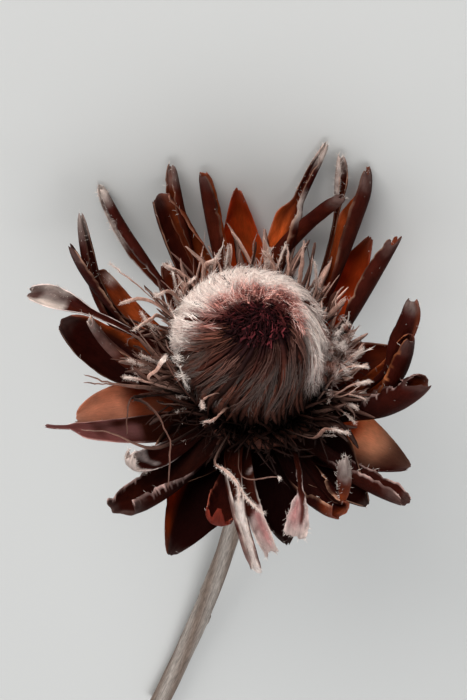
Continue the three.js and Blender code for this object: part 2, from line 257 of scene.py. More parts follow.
def ridged_and_curved(points):
    """The stem's points with its ridges, swellings and leaf scars, bent below its neck."""
    towards = spot(BEND_TURN, 1, 0)
    across = np.cross([0, 0, 1], towards)
    reach, angle = polar(points)
    rise = points[:, 2]
    woody = 1 - eased(rise, NECK_RISE, WOOD_END)
    ridges = RIDGE_DEPTH * np.cos(RIDGES * angle + 1.3 * np.sin(rise / 17))
    ridges += FINE_RIDGE_DEPTH * np.cos(FINE_RIDGES * angle + rise / 9)
    swelling = 0.03 * np.sin(rise / 11) + 0.018 * np.sin(rise / 4.3 + 2 * angle)
    grown = reach * (1 + woody * (ridges + swelling))
    # Each leaf scar is a lump with a dent just above its middle.
    for scar in range(LEAF_SCARS):
        above = rise - (FIRST_SCAR - SCAR_SPACING * scar)
        beside = (angle - math.radians(scar * GOLDEN_TURN) + math.pi) % (2 * math.pi) - math.pi
        lump = np.exp(-((beside * 1.5) ** 2) - (above / 1.5) ** 2)
        dent = np.exp(-((beside * 2.6) ** 2) - ((above - 0.9) / 0.7) ** 2)
        grown += (reach > STEM_RADIUS * 0.8) * SCAR_HEIGHT * (lump - 0.9 * dent)
    # Below the neck the stem follows a circle, and its rings stand square to it.
    aside = grown * np.cos(angle)
    up = grown * np.sin(angle)
    whole_bend = math.radians(STEM_BEND)
    bend = whole_bend * np.clip(NECK_RISE - rise, 0, STEM_LENGTH) / STEM_LENGTH
    curve_radius = STEM_LENGTH / whole_bend
    centre = np.outer(curve_radius * (1 - np.cos(bend)), towards)
    centre[:, 2] = np.where(rise < NECK_RISE, NECK_RISE - curve_radius * np.sin(bend), rise)
    square = np.outer(-np.cos(bend), towards)
    square[:, 2] = -np.sin(bend)
    return centre + np.outer(aside, across) + square * up[:, None]


stem = extruded_stem()
straight = places(stem)
stem_reach, stem_angle = polar(straight)
stem_rise = straight[:, 2]
on_cut = (stem_rise < CUT_RISE + PITH_DEPTH * 1.2) & (stem_reach < CUT_END_RADIUS * 0.95)
stem_tint = mixed(BARK_BROWN, BARK_GREY, 0.5 + 0.5 * np.sin(stem_angle * 3 + stem_rise / 12))
stem_tint = mixed(stem_tint, RECEPTACLE_BROWN, 0.9 * eased(stem_rise, NECK_RISE - 4, -10))
stem_tint[on_cut] = CUT_WOOD
stem_tint[on_cut & (stem_reach < CUT_END_RADIUS * 0.45)] = PITH
store(stem, "tint", opaque(stem_tint))
store(stem, "grain", stacked(np.cos(stem_angle) * 2.6, stem_rise, np.sin(stem_angle) * 2.6))
reshape(stem, lambda points: lay_down(ridged_and_curved(points)))
dry_bark = new_finish("dry_bark", 0.82, gloss=0.15)
speckle(dry_bark, (3, 0.25, 3), 0.55, 1.35)
wrinkle(dry_bark, (4, 0.3, 4), 0.0004, 0.8, detail=6)
wrinkle(dry_bark, (9, 6, 9), 0.0001, 0.5)
place_piece(stem, "stem_dressed", "stem", dry_bark)


# Outer bracts
# Twelve broad pointed bracts and eleven small scales close the back of the head. Each is a dry sheet
# about half a millimetre thick, orange brown where light comes through it. Each starts as a flat grid,
# is shaped along its middle line with its margins rolled in, and is then given its thickness.
LEAF = "leaf"
SPOON = "spoon"
STRAP = "strap"
SCALE = "scale"
ROWS = {LEAF: 44, SPOON: 64, STRAP: 56, SCALE: 12}
COLUMNS = {LEAF: 16, SPOON: 18, STRAP: 12, SCALE: 6}
FOOT = {LEAF: (13.9, -6.6), SPOON: (16.8, -1.6), STRAP: (16.8, -0.8), SCALE: (11.4, -7.7)}
BRACT_THICKNESS = 0.45
SOLID_CURL = 1.6  # power that the solid bracts' margins roll in with
MORE_ROLL = 1.45  # how much further the real margins roll in than the solid ones
CURL = 1.25  # power that the real margins roll in with
CURL_SAMPLES = 200
FINE = 4  # steps between two columns when a section is rolled up
TIP_HAIRS = 170  # hairs of down on the tip of the downiest bract
SCURF_HAIRS = 420  # hairs on a scurfy patch as long as its bract
MARGIN_HAIRS = 8  # hairs along the palest margin
LIT_THROUGH = 2.2  # how much brighter a leaf is where light comes through it
FAINT_DOWN = 0.12  # how grey a tip is whose entry names no down
FEW_HAIRS = 0.05  # how hairy it is
SCALES = 11
# The near black is painted shade, where the bracts lie in the shade of the dome and of each other. The rust
# orange is the bracts' own colour together with a painted glow of light coming through thin parts.
MAROON = (0.035, 0.0045, 0.003)
RUST = (0.48, 0.085, 0.016)
DRY_EDGE = (0.6, 0.33, 0.22)
DOWN_GREY = (0.5, 0.42, 0.38)
FADED_PINK = (0.6, 0.4, 0.36)
FADED_WHITE = (0.85, 0.72, 0.68)
FADED_TAN = (0.56, 0.34, 0.22)
PINK_MAUVE = (0.34, 0.14, 0.135)
PALE_BEIGE = (0.6, 0.52, 0.47)
SHADE_BLACK = (0.004, 0.0012, 0.001)

# What a bract is like where its own entry says nothing else. Its left is the left of someone who looks
# out along it from the dome. Places along it go from 0 at its foot to 1 at its tip.
USUAL_BRACT = {
    "sway": 0,  # degrees from its foot's turn to its tip's
    "swerve": 0,  # how far its middle stands aside
    "hook": 0,  # how far its upper part bends back towards its face
    "turned": 0,  # degrees that its blade is turned about its middle line
    "twist": 0,  # degrees more that it twists on the way to its tip
    "left_wide": 1,  # how wide its left half is, as a share of the usual
    "right_wide": 1,
    "left_flap": (2, 1),  # where its left margin is torn off, and the share that is kept
    "right_flap": (2, 1),
    "narrow": (2, 1),  # where it narrows, and to what share
    "neck": (-1, 1),  # where its narrow lower part ends, and the share that this part has
    "blunt": 0,  # least half width of its upper part, as a share of the full one
    "round": 0,  # how far its upper part fills a half ellipse
    "hood": 0,  # how far its tip bends up over its face
    "ruffle": 0.12,  # how high its margins are ruffled
    "torn": 0.1,  # how deep its margins are torn
    "ragged": 0.02,  # how far its tip is frayed back
    # The next entry's rust orange is the bract's own colour and also a painted glow of light coming through
    # it.
    "rust": 0.4,  # how rusty it is
    "rust_start": -1,  # where its rust starts
    "rust_end": (0.85, 0.5),  # where its rust ends, and the share that is lost there
    # The next entry is how far up from the foot painted shade blackens it.
    "soot": 0.5,  # how far up it is blackened
    "pale": 0,  # how far its upper part is faded
    "pale_from": (0.35, 0.8),  # where it starts and ends to fade
    "fades_to": FADED_PINK,  # the colour of its faded part
    "lining": 0.7,  # how far its inner face is faded, as a share of the outer
    # The next entry darkens one half with painted shade.
    "shade": (1, 0),  # which half is darker, 1 for the left and -1 for the right, and how much
    "dark_tip": 0,  # how dark its upper part is
    "scurf": (),  # scurfy patches: where each starts and ends, and on which half, 0 for both
    "edge": 0.5,  # how pale its margins are
    "rim": 0.1,  # how wide their pale part is
    "margin": DRY_EDGE,  # their colour
}


def bract_of(shape, turn, reach, rise, width, roll, bow, **traits):
    """A bract by its tip's place, its flat width, the degrees its margins roll in and how far it bows out.

    Its halves may have a roll and a rust of their own. rust_from is where across the blade the left half's
    rust starts, and stripe where a mauve stripe is. down is how downy its tip is. by gives two spots that
    its middle line bends by, in place of bow, hook and swerve.
    """
    tip = {"turn": turn, "reach": reach, "rise": rise}
    return USUAL_BRACT | tip | {"shape": shape, "width": width, "roll": roll, "bow": bow} | traits


OUTER_BRACTS = [
    bract_of(LEAF, 330, 43, 0, 17, 50, 3, sway=4, torn=0.02, rust=0.9, soot=0.6, pale=0.85,
        pale_from=(0.15, 0.5), fades_to=FADED_TAN, shade=(-1, 0.95), dark_tip=0.9, edge=0),
    bract_of(LEAF, 309, 43, 3, 15, 60, 3, left_roll=100, rust=0.02, soot=2.5, edge=0.6),
    bract_of(LEAF, 281, 44, 0, 15, 60, 3, ragged=0.06, rust=0, soot=3, edge=0.1),
    bract_of(LEAF, 248, 51, 0, 18, 40, 3, torn=0.05, ragged=0.02, rust=0, right_rust=0.6, rust_from=-0.6,
        soot=2.2, edge=0),
    bract_of(LEAF, 229, 42, 0, 15, 60, 3, rust=0.02, soot=2.5),
    bract_of(LEAF, 201, 54, 8, 13, 60, 3, sway=-7, left_roll=35, right_roll=80, right_wide=0.3,
        left_flap=(0.8, 0.1), right_flap=(0.82, 0.5), blunt=0.65, torn=0.15, rust=0.15, soot=1.6,
        pale=0.5, pale_from=(0.4, 0.7), fades_to=PINK_MAUVE, edge=1, margin=FADED_PINK),
    bract_of(LEAF, 196, 46, -1, 18, 50, 3, round=0.95, torn=0.02, rust=0.9, soot=1.5, pale=0.85,
        pale_from=(0.35, 0.7), fades_to=(0.5, 0.26, 0.17), shade=(1, 0.6), edge=0),
    bract_of(LEAF, 160, 40, 0, 14, 60, 3, sway=-6, rust=0.15),
    bract_of(LEAF, 132, 38, 6, 14, 60, 3, rust=0.35),
    bract_of(LEAF, 101, 41.3, 23.5, 12.5, 50, 9, sway=4, rust=1, soot=0.45, edge=0.1),
    bract_of(LEAF, 53, 43, 14, 13, 60, 5, sway=8, torn=0.03, rust=0.65, soot=0.5, edge=0.1),
    bract_of(LEAF, 16, 38, 0, 14, 60, 3, rust=0.12),
]
small_scales = []
for i in range(SCALES):
    odd = i % 2
    turn, reach, rise = 360 * (i + 0.3 * odd) / SCALES, 20 + 2 * (i % 3), -10.5 + 0.8 * odd
    small_scales.append(bract_of(SCALE, turn, reach, rise, 9, 40, 1.4, rust=0.3))
bract_down = []  # where each grown bract's down stands, and which way it points


def half_width(shape, along):
    """Half width along a bract, as a share of its full half width."""

    def swell(to):
        return np.sin(np.clip(along / to, 0, 1) * math.pi / 2)

    def tip(start, length):
        return np.clip(along - start, 0, 1) / length

    if shape == SPOON:
        return (0.4 + 0.6 * swell(0.62) ** 1.6) * np.sqrt(1 - tip(0.7, 0.315) ** 2.4)
    if shape == STRAP:
        return (0.6 + 0.4 * swell(0.4)) * np.sqrt(1 - tip(0.8, 0.21) ** 2)
    return (0.7 + 0.3 * swell(0.35)) * np.cos(tip(0.35, 0.67) * math.pi / 2) ** 0.75


def rolled_reach(roll, curl):
    """How wide a half blade is from its middle once it is rolled, as a share of its flat half width."""
    share = (np.arange(CURL_SAMPLES) + 0.5) / CURL_SAMPLES
    return np.cumsum(np.cos(math.radians(roll) * share**curl)).max() / CURL_SAMPLES


def ripple(values, draws, slowest, layers=4):
    """A smooth uneven line, about one high: waves on waves, each layer twice as fine as the last."""
    total = np.zeros(np.shape(values))
    for layer in range(layers):
        total += np.sin(values * slowest * 2**layer + draws.uniform(0, 2 * math.pi)) / 1.5**layer
    return total / 2


def blotches(x, y, draws, size):
    """Uneven blotches about size across, from about -1 to 1."""
    total = 0
    for _ in range(6):
        angle = draws.uniform(0, 2 * math.pi)
        wave = 2 * math.pi / size / draws.uniform(0.7, 1.8)
        front = x * math.cos(angle) + y * math.sin(angle)
        total = total + np.sin(front * wave + draws.uniform(0, 2 * math.pi))
    return total / 2.4


def middle_line(bract, along):
    """Points and directions along a bract's middle, and the direction across it."""
    foot = spot(bract["turn"] - bract["sway"], *FOOT[bract["shape"]])
    tip = spot(bract["turn"], bract["reach"], bract["rise"])
    chord = tip - foot
    mean_turn = bract["turn"] - bract["sway"] / 2
    aside = spot(mean_turn + 90, 1, 0)
    below = np.cross(aside, chord)
    below /= np.linalg.norm(below)
    if below @ spot(mean_turn, 1, -1) < 0:
        below = -below
    bow, hook, swerve = bract["bow"], bract["hook"], bract["swerve"]
    lower = foot + chord / 3 + below * bow * 1.2 + aside * swerve
    upper = foot + chord * 2 / 3 + below * (bow - hook) * 1.2 + aside * swerve * 0.8
    if "by" in bract:
        lower, upper = (spot(*place) for place in bract["by"])
    t = along[:, None]
    line = (1 - t) ** 3 * foot + 3 * (1 - t) ** 2 * t * lower + 3 * (1 - t) * t**2 * upper + t**3 * tip
    heading = (1 - t) ** 2 * (lower - foot) + 2 * (1 - t) * t * (upper - lower) + t**2 * (tip - upper)
    heading /= np.linalg.norm(heading, axis=1, keepdims=True)
    side = aside - (heading @ aside)[:, None] * heading
    side /= np.linalg.norm(side, axis=1, keepdims=True)
    return line, heading, side


def half_blade(bract, name, share, length, columns, draws):
    """Half of a blade, rolled up and torn: how far its points are aside of the middle line, and above it."""
    along = np.linspace(0, 1, len(share))
    flat = np.linspace(0, 1, columns * FINE + 1)
    between = (flat[1:] + flat[:-1]) / 2
    roll = bract.get(name + "_roll", bract["roll"] * MORE_ROLL)
    margin = share * (bract["width"] / 2) * rolled_reach(bract["roll"], SOLID_CURL) / rolled_reach(roll, CURL)
    margin *= bract[name + "_wide"]
    rolled_in = 0.3 + 0.7 * np.clip(along / 0.75, 0, 1)
    bend = math.radians(roll) * rolled_in[:, None] * between[None, :] ** CURL
    x = np.cumsum(np.cos(bend), axis=1) * margin[:, None] / len(between)
    z = np.cumsum(np.sin(bend), axis=1) * margin[:, None] / len(between)
    torn = bract["torn"] * eased(along, 0.35, 0.7)
    notch = np.clip(ripple(along * length, draws, 0.45, layers=3) - 0.1, 0, 1) ** 1.5
    trim = 1 - torn * (notch + 0.12 * ripple(along * length, draws, 3.1, layers=2))
    flap_end, flap_keep = bract[name + "_flap"]
    trim *= 1 - (1 - flap_keep) * eased(along, flap_end - 0.03, flap_end + 0.04)
    kept = np.linspace(0, 1, columns // 2 + 1)
    x = np.array([np.interp(kept * cut, flat, np.append(0, row)) for cut, row in zip(trim, x)])
    z = np.array([np.interp(kept * cut, flat, np.append(0, row)) for cut, row in zip(trim, z)])
    ruffle = bract["ruffle"] * ripple(along * length, draws, 0.7)[:, None] * kept**3
    return x, z + ruffle * eased(along, 0.1, 0.5)[:, None]


def bract_points(bract, draws):
    """Points of a bract's blade, row by row from its foot, and how far across and along each one is."""
    rows, columns = ROWS[bract["shape"]], COLUMNS[bract["shape"]]
    along = np.linspace(0, 1, rows + 1)
    line, heading, side = middle_line(bract, along)
    length = np.linalg.norm(np.diff(line, axis=0), axis=1).sum()
    face = np.cross(heading, side)
    twist = np.radians(bract["twist"]) * along**1.5 + np.radians(bract["turned"]) * eased(along, 0, 0.3)
    side, face = (
        side * np.cos(twist)[:, None] + face * np.sin(twist)[:, None],
        face * np.cos(twist)[:, None] - side * np.sin(twist)[:, None],
    )
    share = np.maximum(half_width(bract["shape"], along), bract["blunt"] * eased(along, 0.3, 0.6))
    rounded = np.sqrt(np.clip(1 - (np.clip(along - 0.45, 0, 1) / 0.55) ** 2, 0, 1)) * eased(along, 0.1, 0.4)
    share = np.maximum(share, bract["round"] * rounded)
    narrow_start, narrow_share = bract["narrow"]
    share *= 1 - (1 - narrow_share) * eased(along, narrow_start - 0.06, narrow_start + 0.06)
    neck_end, neck_share = bract["neck"]
    share *= neck_share + (1 - neck_share) * eased(along, neck_end - 0.18, neck_end + 0.12)
    left_x, left_z = half_blade(bract, "left", share, length, columns, draws)
    right_x, right_z = half_blade(bract, "right", share, length, columns, draws)
    x = np.concatenate([-right_x[:, :0:-1], left_x], axis=1)
    z = np.concatenate([right_z[:, :0:-1], left_z], axis=1)
    hood = bract["hood"] * np.clip((along - 0.82) / 0.18, 0, 1) ** 2
    points = line[:, None] + side[:, None] * x[..., None] + face[:, None] * (z + hood[:, None])[..., None]
    across = np.linspace(-1, 1, columns + 1)
    crease = 0.12 * ripple(across * 3.1, draws, 1.7)[None, :] * eased(along, 0, 0.3)[:, None]
    points += face[:, None] * crease[..., None]
    frayed = bract["ragged"] * np.clip(0.5 + ripple(across * 2, draws, 1.5, layers=3), 0, 1.6)
    drawn_back = rows * along[:, None] * (1 - frayed * along[:, None] ** 4)
    before = np.minimum(drawn_back.astype(int), rows - 1)
    column = np.arange(columns + 1)
    onwards = (drawn_back - before)[..., None] * np.ones(3)
    points = mixed(points[before, column], points[before + 1, column], onwards)
    return points, across, along, length


def bract_tint(bract, across, along, length, inside, draws):
    """Colours of one face of a bract.

    It is dark maroon, and rusty orange where it is thin: its own colour together with a painted glow of light
    coming through. Painted shade makes it nearly black at its foot and darker on one half. It is pale along
    torn margins and in scurfy patches, and downy at its tip.
    """
    side, across, along = across[None, :], np.abs(across)[None, :], along[:, None]
    patch = blotches(along * length, side * bract["width"] / 2, draws, 9)
    # Rust orange: the bract's own colour together with a painted glow where light comes through it.
    right_rust = bract.get("right_rust", bract["rust"])
    left_rust = bract.get("left_rust", bract["rust"])
    rust = mixed(right_rust, left_rust, eased(side - bract.get("rust_from", 0), -0.15, 0.15))
    rust = rust * eased(along, bract["rust_start"] - 0.1, bract["rust_start"] + 0.1)
    rust_end, rust_loss = bract["rust_end"]
    rust = rust * (1 - rust_loss * eased(along, rust_end - 0.15, rust_end + 0.15))
    rust = np.clip(rust * (1 + 0.3 * patch), 0, 1)
    colour = mixed(MAROON, RUST, rust * (0.8 if inside else 1.0))
    spared = 0.75 if "rust_from" in bract else 0
    # Painted shade: near black at the foot, stronger on the inner face, and weaker where it is rusty if the
    # entry gives rust_from.
    foot = (0.97 if inside else 0.8) * (1 - eased(along + 0 * across, 0, bract["soot"])) * (1 - spared * rust)
    colour = mixed(colour, SHADE_BLACK, foot)
    faded = bract["pale"] * eased(along + 0.15 * patch, *bract["pale_from"])
    colour = mixed(colour, bract["fades_to"], np.clip(faded * (bract["lining"] if inside else 1), 0, 1))
    # Painted shade darkens one half.
    shaded_side, shaded = bract["shade"]
    colour = mixed(colour, MAROON, shaded * eased(side * shaded_side + 0.1 * patch + 0 * along, -0.5, 0.5))
    if "stripe" in bract:
        striped = np.exp(-(((side - bract["stripe"]) / 0.45) ** 2)) * eased(along, *bract["pale_from"])
        colour = mixed(colour, PINK_MAUVE, 0.85 * striped * (1 - 0.8 * eased(along, 0.82, 0.97)))
    colour = mixed(colour, MAROON, bract["dark_tip"] * eased(along + 0.05 * patch, 0.5, 0.9))
    grit = 0.6 + 0.4 * eased(blotches(along * length, side * bract["width"] / 2, draws, 2.2), -0.5, 0.5)
    for start, end, scurfy_side in bract["scurf"]:
        scurfy = eased(along, start - 0.05, start + 0.05) * (1 - eased(along, end - 0.05, end + 0.05))
        scurfy = scurfy * (eased(side * scurfy_side, 0.3, 0.8) if scurfy_side else 1)
        colour = mixed(colour, DOWN_GREY, np.clip(0.85 * scurfy * grit, 0, 1))
    edge_start = 0.95 - bract["rim"] * np.clip(ripple(along * length, draws, 1.2, layers=3), 0, 1)
    edge = bract["edge"] * eased(across, edge_start, edge_start + 0.06) * eased(along, 0.3, 0.55)
    edge = edge * (0.25 + 0.75 * eased(ripple(along * length, draws, 0.5, layers=2), -0.3, 0.4))
    colour = mixed(colour, bract["margin"], np.clip(edge, 0, 1))
    downy = 0.8 * bract.get("down", FAINT_DOWN) * eased(along + 0.04 * patch, 0.86, 1) * grit
    return mixed(colour, DOWN_GREY, np.clip(downy, 0, 1))


def grown_bract(bract, seed):
    """One bract as an object, with its tint and grain on it."""
    draws = np.random.default_rng(seed)
    blade, across, along, length = bract_points(bract, draws)
    rows, columns = len(along) - 1, len(across) - 1
    bpy.ops.mesh.primitive_grid_add(x_subdivisions=columns, y_subdivisions=rows, size=2)
    piece = bpy.context.object
    grid = places(piece)
    column = np.rint((grid[:, 0] + 1) / 2 * columns).astype(int)
    row = np.rint((grid[:, 1] + 1) / 2 * rows).astype(int)
    reshape(piece, lambda points: blade[row, column])
    # The margin has three tenths of the blade's thickness, and the points beside it have seven tenths.
    thin = piece.vertex_groups.new(name="thin")
    for margin, weight in ((0, 0.3), (1, 0.7)):
        at = np.flatnonzero((column == margin) | (column == columns - margin) | (row == rows - margin))
        thin.add([int(i) for i in at], weight, "REPLACE")
    thick = np.flatnonzero((column > 1) & (column < columns - 1) & (row < rows - 1))
    thin.add([int(i) for i in thick], 1, "REPLACE")
    solidify = piece.modifiers.new("thickness", "SOLIDIFY")
    solidify.thickness = BRACT_THICKNESS
    solidify.offset = 0
    solidify.vertex_group = "thin"
    bpy.ops.object.modifier_apply(modifier="thickness")
    piece.vertex_groups.clear()
    inner = bract_tint(bract, across, along, length, True, draws)
    outer = bract_tint(bract, across, along, length, False, draws)
    store(piece, "tint", opaque(np.concatenate([inner[row, column], outer[row, column]])))
    grain = stacked(across[column] * bract["width"] / 2, along[row] * length, seed * 7.3)
    store(piece, "grain", np.concatenate([grain, grain]))
    if bract["shape"] != SCALE:
        bract_down.append(downy_spots(bract, blade, draws))
    return piece


def downy_spots(bract, blade, draws):
    """Where a bract's down stands: at its tip, on its scurfy patches, and thinly along its margins."""
    rows, columns = blade.shape[0] - 1, blade.shape[1] - 1
    at_tip = draws.uniform(0, 1, int(TIP_HAIRS * bract.get("down", FEW_HAIRS)))
    patches = [(1 - 0.3 * at_tip**1.5, 0)]
    for start, end, side in bract["scurf"]:
        end = min(end, 1)
        patches.append((draws.uniform(start, end, int(SCURF_HAIRS * (end - start))), side))
    patches.append((draws.uniform(0.35, 1, int(MARGIN_HAIRS * bract["edge"])), 2))
    spots, headings = [], []
    for along, side in patches:
        across = draws.uniform(0, 1, len(along)) ** 0.5
        across = across * (side if abs(side) == 1 else draws.choice([-1, 1], len(along)))
        if side == 2:
            across = np.sign(across)
        row = np.rint(along * rows).astype(int)
        column = np.rint((across + 1) / 2 * columns).astype(int)
        onwards = blade[np.minimum(row + 1, rows), column] - blade[np.maximum(row - 1, 0), column]
        sideways = blade[row, np.minimum(column + 1, columns)] - blade[row, np.maximum(column - 1, 0)]
        onwards /= np.linalg.norm(onwards, axis=1, keepdims=True) + 1e-9
        sideways /= np.linalg.norm(sideways, axis=1, keepdims=True) + 1e-9
        off_face = np.cross(onwards, sideways) * draws.choice([-1, 1], (len(row), 1))
        beyond = sideways * np.sign(across)[:, None]
        spots.append(blade[row, column])
        scatter = draws.normal(0, 0.45, (len(row), 3))
        headings.append(onwards * 0.7 + off_face * 0.6 + beyond * 0.5 + scatter)
    return np.concatenate(spots), np.concatenate(headings)


def joined(pieces):
    """One object from several."""
    bpy.ops.object.select_all(action="DESELECT")
    for piece in pieces:
        piece.select_set(True)
    bpy.context.view_layer.objects.active = pieces[0]
    bpy.ops.object.join()
    bpy.ops.object.select_all(action="DESELECT")
    return pieces[0]


def dry_leaf(name, roughness, through, mottle):
    """A dry leaf's finish: fine veins along it, mottled, and lit through from behind."""
    finish = new_finish(name, roughness, gloss=0.05)
    speckle(finish, (0.6, 0.3, 1), 1 - mottle, 1 + mottle)
    speckle(finish, (6, 0.5, 1), 0.85, 1.12)
    wrinkle(finish, (5, 0.35, 1), 0.0003, 0.7)
    wrinkle(finish, (7, 5, 1), 0.0001, 0.6, detail=5)
    nodes, links = finish.node_tree.nodes, finish.node_tree.links
    lit_through = nodes.new("ShaderNodeBsdfTranslucent")
    brighter = nodes.new("ShaderNodeVectorMath")
    brighter.operation = "SCALE"
    brighter.inputs["Scale"].default_value = LIT_THROUGH
    links.new(nodes["Principled BSDF"].inputs["Base Color"].links[0].from_socket, brighter.inputs[0])
    links.new(brighter.outputs["Vector"], lit_through.inputs["Color"])
    both = nodes.new("ShaderNodeMixShader")
    both.inputs["Fac"].default_value = through
    links.new(nodes["Principled BSDF"].outputs["BSDF"], both.inputs[1])
    links.new(lit_through.outputs["BSDF"], both.inputs[2])
    links.new(both.outputs["Shader"], nodes["Material Output"].inputs["Surface"])
    return finish


outer_pieces = [grown_bract(bract, 100 + i) for i, bract in enumerate(OUTER_BRACTS)]
outer_pieces += [grown_bract(bract, 130 + i) for i, bract in enumerate(small_scales)]
outer_ring = joined(outer_pieces)
reshape(outer_ring, lay_down)
thin_dry_leaf = dry_leaf("thin_dry_leaf", 0.6, through=0.55, mottle=0.12)
place_piece(outer_ring, "outer_bract_ring", "outer_bracts", thin_dry_leaf)


